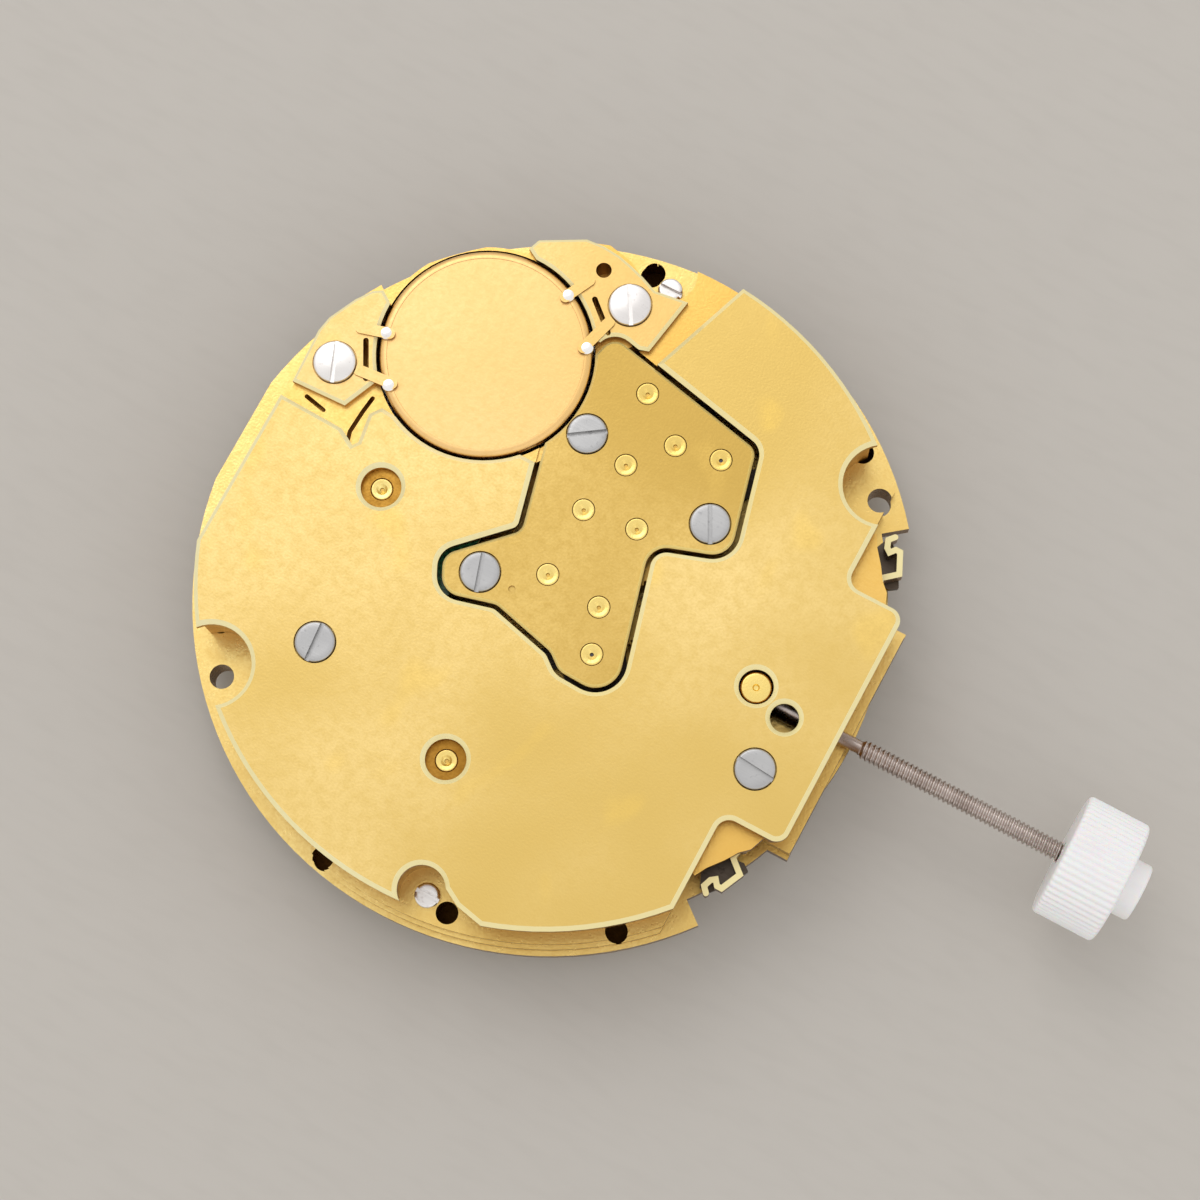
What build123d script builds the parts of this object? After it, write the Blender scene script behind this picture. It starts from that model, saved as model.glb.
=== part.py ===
from build123d import *
import os
from math import atan2, cos, degrees, hypot, radians, sin

# Quartz chronograph movement that lies dial side down, with its winding stem along +X.
# The origin is the centre of the hands on the dial seat, and +Z points to the train side.
# All lengths are in millimetres. Values that end in share or shares are parts of a named size.

# Plates and their levels, counted up from the dial seat
plate_radius = 16.25
step_inset = 0.25
shoulder_inset = 0.45
cover_inset = 0.75
stem_flat_inset = 1.75
back_flat_inset = 1.9
notch_inset = 4.6
plate_notch_inset = 1.25
plate_flat_inset = 1.4
rim_back_inset = 0.2
step_back_inset = 1.1
cover_radius = plate_radius - cover_inset
step_radius = plate_radius - step_inset
shoulder_radius = plate_radius - shoulder_inset
stem_flat = plate_radius - stem_flat_inset
back_flat = plate_radius - back_flat_inset
notch_reach = plate_radius - notch_inset
plate_notch_radius = plate_radius - plate_notch_inset
plate_flat = plate_radius - plate_flat_inset
rim_back_flat = plate_radius - rim_back_inset
step_back_flat = plate_radius - step_back_inset
notch_half_width = 5.7
rim_notch_angle = 38.3
frame_inset = 0.2
frame_wall = 1.0
notch_corner = 0.6
edge_chamfer = 0.2
bridge_chamfer = 0.12
bridge_gap = 0.22
dial_seat = 0.0
rim_height = 0.8
step_height = 1.3
plate_height = 1.7
frame_top = 4.4
cover_thickness = 0.5
bridge_thickness = 0.5
bridge_drop = 0.15
cover_top = frame_top + cover_thickness
bridge_top = cover_top - bridge_drop
bridge_foot = bridge_top - bridge_thickness

# Clearances that many pieces share
face_gap = 0.05
running_clearance = 0.03
overrun = 1.0

# Battery
battery_radius = 4.75
battery_height = 3.6
battery_base = 1.2
battery_inset = 5.85
battery_reach = plate_radius - battery_inset
battery_angle = 134.0
battery_wall = 0.15
battery_clearance = 0.12
battery_edge = 0.3
can_wall = 0.2
cap_radius = 4.1
gasket_height = 0.4

# Calendar on the dial side
calendar_inset = 1.9
ring_clearance = 0.15
ring_width = 2.3
date_plate_lap = 0.4
calendar_radius = plate_radius - calendar_inset
ring_outer_radius = calendar_radius - ring_clearance
ring_inner_radius = ring_outer_radius - ring_width
date_plate_radius = ring_inner_radius + date_plate_lap
ring_tooth_height = 0.6
ring_teeth = 31
ring_foot = 0.18
ring_thickness = 0.36
ring_tooth_thickness = 0.16
calendar_depth = 0.59
works_width = 6.6
works_depth = 0.95
date_plate_foot = 0.02
date_plate_thickness = 0.12

# Places of the hands and of the train, from the centre
sub_dial_reach = 9.2
day_hour_reach = 8.35
rotor_reach = 2.1
intermediate_reach = 2.66
minute_wheel_reach = 2.9
idler_reach = 4.64
running_intermediate_angle = -34.6
running_rotor_angle = 10.0
chronograph_intermediate_angle = -5.0
chronograph_rotor_angle = -70.0
counter_intermediate_angle = 20.0
counter_rotor_angle = 18.0
idler_angle = 172.4
third_shares = (0.044, 0.381)
transfer_shares = (0.159, 0.232)
minute_drive_shares = (0.0, 0.211)
centre = (0, 0)

# Places of the screws and of the other round features of the cover and the bridge
dimple_shares = (-0.069, -0.084)
cover_screw_shares = [(-0.483, -0.477), (0.77, -0.215)]
cover_screw_turns = [95.0, -5.0]
bridge_screw_shares = [(-0.096, 0.41), (0.334, 0.342), (-0.172, -0.083)]
bridge_screw_turns = [34.0, 118.0, 108.0]
clamp_screw_shares = [(-0.833, 0.257), (-0.167, 0.799)]
clamp_screw_turns = [112.0, 121.0]
casing_screw_shares = [(0.115, -0.941), (-0.115, 0.941)]
dial_foot_shares = [(0.713, 0.671), (-0.713, -0.671)]
button_shares = (0.665, -0.008)
vent_shares = (0.775, -0.049)

# Arbors, pivots and hand seats
arbor_radius = 0.14
pivot_radius = 0.08
pivot_length = 0.35
bushing_radius = 0.5
bushing_hole = 0.11
bushing_sink_radius = 0.2
bushing_sink_depth = 0.15
bushing_rise = 0.03
small_seat_radius = 0.125
counter_arbor_radius = 0.15
drive_tube_radius = 0.29
drive_tube_bore = 0.18
minute_tube_gap = 0.02
minute_tube_radius = drive_tube_radius + minute_tube_gap
minute_seat_radius = 0.45
minute_shoulder_radius = 0.47
hour_bore_radius = 0.5
hour_seat_radius = 0.75
hour_shoulder_radius = 0.8
small_seat_length = 0.5
minute_seat_length = 0.4
hour_seat_length = 0.55
seat_taper_length = 0.55
seconds_reach = 1.9
minute_reach = 1.35
hour_reach = 0.9
counter_reach = 1.4

# Wheels
wheel_thickness = 0.2
pinion_length = 0.4
level_minutes = 1.95
level_third = 2.45
level_running = 2.95
level_transfer = 3.45
level_fast = 3.9
level_counter = 3.7
tooth_root_share = 0.3
tooth_tip_share = 0.12
addendum_share = 0.9
dedendum_share = 1.15
spoke_hole_reach_share = 0.58
spoke_hole_radius_share = 0.22
spoke_holes = 4
spoked_wheel_radius = 1.5

# Stepping motors
magnet_radius = 0.75
magnet_length = 0.35
stator_hole = 1.0
stator_radius = 1.45
stator_thickness = 0.4
stator_leg_width = 1.0
core_width = 0.6
core_height = 0.4
coil_length = 5.0
coil_radius = 0.75
coil_axis = 2.9
core_reach = 3.1
core_lug_radius = 0.45

# Winding stem and crown
stem_axis = 2.35
stem_pilot_radius = 0.25
stem_square = 0.56
stem_groove_radius = 0.3
stem_collar_radius = 0.55
stem_bearing_radius = 0.58
stem_neck_radius = 0.3
thread_radius = 0.45
thread_root_radius = 0.35
thread_pitch = 0.225
stem_start = 6.2
square_start = 7.95
collar_start = 9.6
groove_start = 10.05
groove_width = 0.6
neck_start = 14.35
thread_start = 15.4
crown_start = 25.15
crown_length = 2.9
crown_radius = 2.8
crown_flutes = 56
crown_flute_depth = 0.07
crown_boss_radius = 1.3
crown_boss_length = 0.9
crown_bore_depth = 2.2
crown_edge = 0.12

# Screws
screw_head_radius = 0.89
screw_head_height = 0.42
screw_shank_radius = 0.3
screw_slot_width = 0.2
screw_slot_depth = 0.2
screw_edge = 0.12
screw_post_radius = 0.8
bridge_post_radius = 0.5
screw_hole_clearance = 0.03
screw_hole_radius = screw_shank_radius + screw_hole_clearance
screw_seat_radius = screw_head_radius + face_gap
screw_seat_depth = 0.3
screw_shank_length = 1.4

base_align = (Align.CENTER, Align.CENTER, Align.MIN)


def polar(start, reach, angle):
    return (start[0] + reach * cos(radians(angle)), start[1] + reach * sin(radians(angle)))


def distance(a, b):
    return hypot(b[0] - a[0], b[1] - a[1])


def bearing(a, b):
    return degrees(atan2(b[1] - a[1], b[0] - a[0]))


def across(x_share, y_share):
    return (cover_radius * x_share, cover_radius * y_share)


# Places worked out from the values above
battery_spot = polar(centre, battery_reach, battery_angle)
small_seconds_spot = (0, sub_dial_reach)
minute_counter_spot = (0, -sub_dial_reach)
day_hour_spot = (-day_hour_reach, 0)
running_intermediate_spot = polar(small_seconds_spot, intermediate_reach, running_intermediate_angle)
running_rotor_spot = polar(running_intermediate_spot, rotor_reach, running_rotor_angle)
chronograph_intermediate_spot = polar(centre, intermediate_reach, chronograph_intermediate_angle)
chronograph_rotor_spot = polar(chronograph_intermediate_spot, rotor_reach, chronograph_rotor_angle)
counter_intermediate_spot = polar(minute_counter_spot, intermediate_reach, counter_intermediate_angle)
counter_rotor_spot = polar(counter_intermediate_spot, rotor_reach, counter_rotor_angle)
third_spot = across(*third_shares)
transfer_spot = across(*transfer_shares)
minute_drive_spot = across(*minute_drive_shares)
minute_wheel_spot = (minute_wheel_reach, 0)
idler_spot = polar(centre, idler_reach, idler_angle)
dimple_spot = across(*dimple_shares)
cover_screw_spots = [across(*place) for place in cover_screw_shares]
bridge_screw_spots = [across(*place) for place in bridge_screw_shares]
clamp_screw_spots = [across(*place) for place in clamp_screw_shares]
casing_screw_spots = [across(*place) for place in casing_screw_shares]
dial_foot_spots = [across(*place) for place in dial_foot_shares]
button_spot = across(*button_shares)
vent_spot = across(*vent_shares)


# Shapes that several pieces use
def post(spot, radius, low, high, mode=Mode.ADD):
    """Adds or cuts an upright round bar in the piece being built."""
    with Locations((spot[0], spot[1], low)):
        Cylinder(radius, high - low, align=base_align, mode=mode)


def taper(spot, low_radius, high_radius, low, high):
    """Adds an upright round taper to the piece being built."""
    with Locations((spot[0], spot[1], low)):
        Cone(low_radius, high_radius, high - low, align=base_align)


def slab(outline, low, high, mode=Mode.ADD):
    """Adds or cuts a flat outline between two levels."""
    with BuildSketch(Plane.XY.offset(low)) as face:
        add(outline)
    extrude(face.sketch, amount=high - low, mode=mode)


def bar_outline(points, width):
    """Outline of a bar with round ends along a few points."""
    with BuildSketch() as face:
        with BuildLine() as path:
            Polyline(*points)
        trace(path.line, line_width=width)
        with Locations(*points):
            Circle(width / 2)
    return face.sketch


def gear_outline(teeth, pitch_radius, phase):
    """Outline of a wheel with straight-sided teeth, one of them centred at the phase angle."""
    module_size = 2 * pitch_radius / teeth
    tip = pitch_radius + addendum_share * module_size
    root = pitch_radius - dedendum_share * module_size
    pitch_angle = 360 / teeth
    corners = []
    for tooth in range(teeth):
        middle = phase + tooth * pitch_angle
        corners.append(polar(centre, root, middle - tooth_root_share * pitch_angle))
        corners.append(polar(centre, tip, middle - tooth_tip_share * pitch_angle))
        corners.append(polar(centre, tip, middle + tooth_tip_share * pitch_angle))
        corners.append(polar(centre, root, middle + tooth_root_share * pitch_angle))
    return corners


def gear(spot, teeth, pitch_radius, phase, low, high):
    """Adds a toothed disc, with round lightening holes when it is large."""
    with BuildSketch(Plane.XY.offset(low)) as face:
        with Locations(spot):
            Polygon(*gear_outline(teeth, pitch_radius, phase), align=None)
            if pitch_radius > spoked_wheel_radius:
                with PolarLocations(pitch_radius * spoke_hole_reach_share, spoke_holes):
                    Circle(pitch_radius * spoke_hole_radius_share, mode=Mode.SUBTRACT)
    extrude(face.sketch, amount=high - low)


def wheel_at(spot, teeth, pitch_radius, phase, level):
    gear(spot, teeth, pitch_radius, phase, level - wheel_thickness / 2, level + wheel_thickness / 2)


def pinion_at(spot, teeth, pitch_radius, phase, level):
    gear(spot, teeth, pitch_radius, phase, level - pinion_length / 2, level + pinion_length / 2)


def mesh(driver_spot, driver_teeth, follower_spot, follower_teeth):
    """Pitch radii and tooth phases of two wheels that mesh at rest."""
    reach = distance(driver_spot, follower_spot)
    driver_radius = reach * driver_teeth / (driver_teeth + follower_teeth)
    driver_phase = bearing(driver_spot, follower_spot)
    follower_phase = driver_phase + 180 + 180 / follower_teeth
    return (driver_radius, driver_phase), (reach - driver_radius, follower_phase)


def arbor(spot, low, high):
    """Adds a plain arbor with a thin pivot at each end."""
    post(spot, arbor_radius, low, high)
    post(spot, pivot_radius, high, high + pivot_length)
    post(spot, pivot_radius, low - pivot_length, low)


def screw(spot, turn, seat, shank_length, head_radius=screw_head_radius, dome=0.0):
    """Adds one slotted screw whose head stands on the seat level."""
    head_top = seat + screw_head_height + dome
    with BuildPart(mode=Mode.PRIVATE) as body:
        post(spot, head_radius, seat, head_top)
        chamfer(body.edges().filter_by(GeomType.CIRCLE).group_by(Axis.Z)[-1], screw_edge + dome / 2)
        post(spot, screw_shank_radius, seat - shank_length, seat)
        with Locations(Location((spot[0], spot[1], head_top), (0, 0, turn))):
            Box(
                3 * head_radius,
                screw_slot_width,
                2 * screw_slot_depth,
                mode=Mode.SUBTRACT,
            )
    add(body.part)


def top_edges(body):
    """The edges of the topmost flat face of the piece being built."""
    return body.faces().filter_by(Axis.Z).sort_by(Axis.Z)[-1].edges()


# Outline of the cover and of the frame under it, with its pockets and notches
foot_pocket_radius = 1.8
casing_pocket_radius = 1.05
casing_pocket_shares = [(0.115, -0.875), (0.225, -0.935), (0.31, -0.952), (0.31, -1.1), (0.115, -1.1)]


def stem_side_cut(inset):
    """What is cut off past the stem flat and in the two pusher notches, with rounded corners."""
    flat = stem_flat - inset
    reach = notch_reach - inset
    half_width = notch_half_width - inset
    with BuildSketch() as face:
        Polygon(
            (flat, -half_width),
            (flat, half_width),
            (reach, half_width),
            (reach, plate_radius),
            (2 * plate_radius, plate_radius),
            (2 * plate_radius, -plate_radius),
            (reach, -plate_radius),
            (reach, -half_width),
            align=None,
        )
        fillet([corner for corner in face.vertices() if abs(corner.Y) < half_width + face_gap], notch_corner)
    return face.sketch


def back_cut(flat):
    """What is cut off past the flat at the back."""
    with BuildSketch() as face:
        with Locations((-flat, 0)):
            Rectangle(plate_radius, 2 * plate_radius, align=(Align.MAX, Align.CENTER))
    return face.sketch


def body_outline(inset):
    """The round body with its two flats, dial-foot pockets, pusher notches and casing pockets."""
    with BuildSketch() as face:
        Circle(cover_radius - inset)
        for spot in dial_foot_spots:
            with Locations(spot):
                Circle(foot_pocket_radius + inset, mode=Mode.SUBTRACT)
        add(stem_side_cut(inset), mode=Mode.SUBTRACT)
        add(back_cut(back_flat - inset), mode=Mode.SUBTRACT)
        for side in (1, -1):
            pocket = [across(side * x, side * y) for x, y in casing_pocket_shares]
            pocket_spot = casing_screw_spots[0 if side > 0 else 1]
            with BuildSketch(mode=Mode.PRIVATE) as casing_pocket:
                Polygon(*pocket, align=None)
                with Locations(pocket_spot):
                    Circle(casing_pocket_radius)
            grown = casing_pocket.sketch
            if inset:
                grown = offset(grown, amount=inset, mode=Mode.PRIVATE)
            add(grown, mode=Mode.SUBTRACT)
    return face.sketch


# Outline of the train bridge, from its top left corner round with the clock
bridge_shares = [(-0.168, 0.7), (0.348, 0.593), (0.428, 0.284), (0.213, 0.21), (0.335, -0.232),
                 (0.158, -0.226), (0.11, -0.189), (-0.087, -0.142), (-0.242, -0.184), (-0.29, -0.087),
                 (-0.126, 0.077), (-0.194, 0.348), (-0.194, 0.6)]
bridge_corner_shares = [0.045, 0.04, 0.065, 0.06, 0.075, 0.05, 0.05, 0.05, 0.06, 0.048, 0.04, 0.02,
                        0.02]


def bridge_outline(grow):
    """The train bridge, grown by a gap where it cuts the cover."""
    with BuildSketch() as face:
        with BuildLine():
            FilletPolyline(
                *[across(x, y) for x, y in bridge_shares],
                radius=[cover_radius * share for share in bridge_corner_shares],
                close=True,
            )
        make_face()
        if grow:
            offset(amount=grow)
        with Locations(battery_spot):
            Circle(battery_radius + battery_clearance - grow, mode=Mode.SUBTRACT)
    return face.sketch


# Area north of the cover that the battery and its two clamps take
clamp_area_shares = [(-1.1, 0.109), (-0.722, 0.098), (-0.672, 0.07), (-0.661, 0.085), (-0.674, 0.172),
                     (-0.65, 0.204), (-0.6, 0.2), (-0.466, 0.483), (-0.026, 0.658), (0.132, 1.1),
                     (-1.1, 1.1)]
peninsula_shares = [(-0.26, 0.268), (-0.13, 0.268), (-0.13, 0.6), (-0.26, 0.6)]


def clamp_area(grow):
    with BuildSketch() as face:
        Polygon(*[across(x, y) for x, y in clamp_area_shares], align=None)
        if grow:
            offset(amount=grow)
        with Locations(battery_spot):
            Circle(battery_radius + battery_clearance + grow)
    return face.sketch


# Places that the main plate shares with what stands on it
press_gap = 0.01
foot_hole_radius = 0.55
rim_hole_radius = 0.5
rim_hole_shares = [(0.186, -0.957), (-0.186, 0.957), (0.631, -0.777), (-0.183, 0.97), (-0.201, -0.988),
                   (-0.794, -0.535), (0.605, 0.774)]
rim_hole_spots = [across(*place) for place in rim_hole_shares]
rim_hole_floor = 0.2
casing_shank_radius = 0.3
casing_head_radius = 0.56
casing_shank_length = 0.8
pilot_block_start = 7.05
pilot_block_length = 0.8
pilot_block_width = 6.0
pilot_block_top = 3.1
setting_wheel_reach = 5.68
setting_wheel_spot = (setting_wheel_reach, 0)
setting_recess_radius = 2.48
setting_wheel_foot = 1.35
setting_hole_radius = 0.83
pinion_start = 8.1
pinion_reach = 1.4
pinion_radius = 0.9
pinion_groove_radius = 0.6
pinion_groove_start = 8.7
pinion_groove_width = 0.5
yoke_spot = (8.6, -2.6)
setting_lever_spot = (9.6, 2.9)
lever_post_radius = 0.25
lever_thickness = 0.2
setting_lever_foot = 3.0
yoke_foot = 3.28
board_foot = 3.3
board_thickness = 0.3
board_post_radius = 0.4
board_post_shares = [(-0.78, -0.27), (-0.28, -0.33), (-0.74, -0.005)]
board_post_spots = [across(*place) for place in board_post_shares]
counter_bridge_foot = 4.05
counter_bridge_thickness = 0.3
counter_post_shares = [(-0.297, -0.452), (0.49, -0.413)]
counter_post_spots = [across(*place) for place in counter_post_shares]
pusher_post_inset = 4.25
pusher_post_height = 6.35
pusher_post_spots = [(plate_radius - pusher_post_inset, side * pusher_post_height) for side in (1, -1)]
pusher_lever_foot = 2.0
pusher_lever_thickness = 0.3
ledge_shares = [(0.723, 0.335), (0.723, 0.529), (0.758, 0.548), (0.777, 0.513), (0.811, 0.471),
                (0.835, 0.434), (0.861, 0.41), (0.89, 0.335)]
ledge_foot = 3.4
ledge_thickness = 0.5
contact_inset = 3.3
contact_anchor_height = 6.3
contact_reach = plate_radius - contact_inset
contact_anchor_spots = [(contact_reach, side * contact_anchor_height) for side in (1, -1)]
contact_post_radius = 0.15
contact_foot = 2.5
contact_height = 0.8
contact_shares = [(0.0, 0.0), (-0.01, 0.042), (0.03, 0.076), (0.016, 0.106), (0.003, 0.134),
                  (-0.011, 0.134), (-0.023, 0.119), (-0.035, 0.128), (-0.043, 0.15), (-0.029, 0.166)]
contact_width = 0.26
date_post_radius = 0.9
date_post_inset = 1.7
date_post_angles = [50.0, 122.0, 250.0]
date_post_reach = ring_inner_radius - date_post_inset
date_post_spots = [polar(centre, date_post_reach, angle) for angle in date_post_angles]
date_screw_radius = 0.5
date_shank_radius = 0.3
jumper_inset = 2.2
jumper_angle = -44.0
jumper_spot = polar(centre, ring_inner_radius - jumper_inset, jumper_angle)
jumper_post_radius = 0.2
contact_strip_width = 1.0
contact_strip_thickness = 0.15
contact_strip_foot = 0.95
contact_strip_shares = [(-0.75, 0.232), (-0.795, 0.0)]
contact_strip_path = [battery_spot] + [across(*place) for place in contact_strip_shares]
train_pocket_radius = 2.4
bracket_foot = 2.7
bracket_reach = 0.75
channel_slit_shares = [(-0.862, 0.137), (-0.8, 0.124)]
inlet_slit_shares = [(-0.695, 0.08), (-0.702, 0.105), (-0.698, 0.171), (-0.692, 0.22)]
channel_slit_width = 0.2
channel_slit_depth = 1.2
left_slot_shares = [(-0.786, 0.355), (-0.731, 0.257)]
right_slot_shares = [(-0.265, 0.768), (-0.185, 0.699)]
clamp_slot_width = 0.25
clamp_hole_shares = (-0.283, 0.856)
clamp_hole_spot = across(*clamp_hole_shares)
clamp_hole_radius = 0.35
battery_side_shares = [(-0.752, 0.462), (-1.1, 0.735), (-1.1, 1.1), (-0.47, 1.1), (-0.505, 0.8)]

# Main plate
with BuildPart() as main_plate:
    with BuildSketch() as rim_face:
        Circle(plate_radius)
        with BuildSketch(mode=Mode.PRIVATE) as notch_sector:
            with BuildLine():
                Polyline(
                    centre,
                    polar(centre, 2 * plate_radius, -rim_notch_angle),
                    polar(centre, 2 * plate_radius, rim_notch_angle),
                    close=True,
                )
            make_face()
            Circle(plate_notch_radius, mode=Mode.SUBTRACT)
        add(notch_sector.sketch, mode=Mode.SUBTRACT)
        Rectangle(plate_flat, 2 * notch_half_width, align=(Align.MIN, Align.CENTER))
        add(back_cut(rim_back_flat), mode=Mode.SUBTRACT)
    extrude(rim_face.sketch, amount=rim_height)
    for low, high, radius in (
        (rim_height, step_height, step_radius),
        (step_height, plate_height, shoulder_radius),
    ):
        with BuildSketch(Plane.XY.offset(low)) as step_face:
            Circle(radius)
            for side in (1, -1):
                with Locations((notch_reach - frame_inset, side * (notch_half_width - frame_inset))):
                    Rectangle(
                        plate_radius,
                        plate_radius,
                        align=(Align.MIN, Align.MIN if side > 0 else Align.MAX),
                        mode=Mode.SUBTRACT,
                    )
            with Locations((plate_flat, 0)):
                Rectangle(
                    plate_radius,
                    2 * plate_radius,
                    align=(Align.MIN, Align.CENTER),
                    mode=Mode.SUBTRACT,
                )
            add(back_cut(step_back_flat), mode=Mode.SUBTRACT)
        extrude(step_face.sketch, amount=high - low)
    post(centre, calendar_radius, dial_seat, calendar_depth, Mode.SUBTRACT)
    works = bar_outline([day_hour_spot, setting_wheel_spot], works_width)
    slab(works, dial_seat, works_depth, Mode.SUBTRACT)
    post(
        battery_spot,
        battery_radius + battery_clearance,
        battery_base - face_gap,
        plate_height + overrun,
        Mode.SUBTRACT,
    )
    channel = bar_outline(contact_strip_path, contact_strip_width + 2 * face_gap)
    slab(channel, contact_strip_foot - face_gap, plate_height + overrun, Mode.SUBTRACT)
    post(setting_wheel_spot, setting_recess_radius, setting_wheel_foot - face_gap, plate_height + overrun,
         Mode.SUBTRACT)
    post(setting_wheel_spot, setting_hole_radius, works_depth - face_gap, plate_height, Mode.SUBTRACT)
    with Locations((pinion_start - face_gap, 0, stem_axis - pinion_radius - face_gap)):
        Box(
            pinion_reach + 2 * face_gap,
            2 * (pinion_radius + face_gap),
            2 * pinion_radius,
            align=(Align.MIN, Align.CENTER, Align.MIN),
            mode=Mode.SUBTRACT,
        )
    with Locations((pilot_block_start, 0, plate_height)):
        Box(
            pilot_block_length,
            pilot_block_width,
            pilot_block_top - plate_height,
            align=(Align.MIN, Align.CENTER, Align.MIN),
        )
    with Locations(Location((stem_start, 0, stem_axis), (0, 90, 0))):
        Cylinder(stem_pilot_radius + running_clearance, 2 * overrun, align=base_align, mode=Mode.SUBTRACT)
    post(yoke_spot, lever_post_radius, plate_height, yoke_foot + lever_thickness)
    post(setting_lever_spot, lever_post_radius, plate_height, setting_lever_foot + lever_thickness)
    for spot in board_post_spots:
        post(spot, board_post_radius, plate_height, board_foot)
    for spot in counter_post_spots:
        post(spot, bridge_post_radius, plate_height, counter_bridge_foot)
    for spot in bridge_screw_spots[1:]:
        post(spot, bridge_post_radius, plate_height, bridge_foot)
    for spot in cover_screw_spots:
        post(spot, screw_post_radius, plate_height, frame_top)
    for spot in pusher_post_spots:
        post(spot, lever_post_radius, rim_height, pusher_lever_foot)
        post(spot, contact_post_radius, pusher_lever_foot, pusher_lever_foot + 2 * pusher_lever_thickness)
    for spot in contact_anchor_spots:
        post(spot, contact_post_radius, rim_height, contact_foot + contact_height)
    for spot in date_post_spots:
        post(spot, date_post_radius, date_plate_foot + date_plate_thickness, calendar_depth)
        post(spot, date_shank_radius + face_gap, dial_seat, calendar_depth + pivot_length, Mode.SUBTRACT)
    post(jumper_spot, jumper_post_radius, date_plate_foot + date_plate_thickness, calendar_depth)
    for spot in dial_foot_spots:
        post(spot, foot_hole_radius, dial_seat - overrun, plate_height + overrun, Mode.SUBTRACT)
    for spot in rim_hole_spots:
        post(spot, rim_hole_radius, rim_hole_floor, plate_height + overrun, Mode.SUBTRACT)
    for spot in casing_screw_spots:
        post(spot, casing_shank_radius + face_gap, rim_height, plate_height + overrun, Mode.SUBTRACT)
    for spot in cover_screw_spots + bridge_screw_spots[1:]:
        post(spot, screw_hole_radius, plate_height + overrun, cover_top, Mode.SUBTRACT)
    bore = drive_tube_radius + running_clearance
    post(centre, bore, works_depth - overrun, plate_height + overrun, Mode.SUBTRACT)
    bore = counter_arbor_radius + running_clearance
    for spot in (small_seconds_spot, minute_counter_spot, day_hour_spot):
        post(spot, bore, dial_seat, plate_height + overrun, Mode.SUBTRACT)
    for spot in (
        running_intermediate_spot,
        running_rotor_spot,
        chronograph_intermediate_spot,
        chronograph_rotor_spot,
        counter_intermediate_spot,
        counter_rotor_spot,
        third_spot,
        transfer_spot,
        minute_drive_spot,
    ):
        post(spot, bushing_hole, plate_height - pivot_length, plate_height + overrun, Mode.SUBTRACT)
    for spot in (minute_wheel_spot, idler_spot):
        post(spot, bushing_hole, works_depth - face_gap, works_depth + pivot_length, Mode.SUBTRACT)
main_plate.part.label = "main_plate"

# Frame between the main plate and the cover, with the bays of the train and of the battery
with BuildPart() as train_frame:
    slab(body_outline(frame_inset), plate_height, frame_top)
    with BuildSketch(mode=Mode.PRIVATE) as bay:
        add(body_outline(frame_inset + frame_wall))
        add(clamp_area(frame_wall / 2), mode=Mode.SUBTRACT)
        with Locations(battery_spot):
            Circle(battery_radius + battery_clearance + battery_wall, mode=Mode.SUBTRACT)
    slab(bay.sketch, plate_height, frame_top, Mode.SUBTRACT)
    post(small_seconds_spot, train_pocket_radius, plate_height, bridge_foot, Mode.SUBTRACT)
    bracket_spot = bridge_screw_spots[0]
    bracket_end = polar(bracket_spot, bracket_reach, bearing(bracket_spot, battery_spot))
    slab(bar_outline([bracket_spot, bracket_end], 2 * bridge_post_radius), bracket_foot, bridge_foot)
    post(battery_spot, battery_radius + battery_clearance, plate_height, frame_top, Mode.SUBTRACT)
    slab(bridge_outline(bridge_gap), bridge_foot, frame_top, Mode.SUBTRACT)
    post(bracket_spot, screw_hole_radius, bracket_foot, frame_top, Mode.SUBTRACT)
    for spot in clamp_screw_spots:
        post(spot, screw_hole_radius, plate_height + overrun, frame_top, Mode.SUBTRACT)
    for shares, width in (
        (channel_slit_shares, channel_slit_width),
        (inlet_slit_shares, channel_slit_width),
        (left_slot_shares, clamp_slot_width),
        (right_slot_shares, clamp_slot_width),
    ):
        slit = bar_outline([across(*place) for place in shares], width)
        slab(slit, frame_top - channel_slit_depth, frame_top, Mode.SUBTRACT)
    post(clamp_hole_spot, clamp_hole_radius, frame_top - channel_slit_depth, frame_top, Mode.SUBTRACT)
    with BuildSketch(mode=Mode.PRIVATE) as battery_side:
        Polygon(*[across(*place) for place in battery_side_shares], align=None)
        with Locations(battery_spot):
            Circle(battery_radius + battery_clearance + battery_wall, mode=Mode.SUBTRACT)
    slab(battery_side.sketch, plate_height, frame_top, Mode.SUBTRACT)
    for side in (1, -1):
        with BuildSketch(mode=Mode.PRIVATE) as ledge:
            Polygon(*[across(x, side * y) for x, y in ledge_shares], align=None)
        slab(ledge.sketch, ledge_foot, ledge_foot + ledge_thickness)
    with Locations(Location((collar_start, 0, stem_axis), (0, 90, 0))):
        Cylinder(
            stem_bearing_radius + running_clearance, plate_radius, align=base_align, mode=Mode.SUBTRACT
        )
train_frame.part.label = "train_frame"

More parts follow.
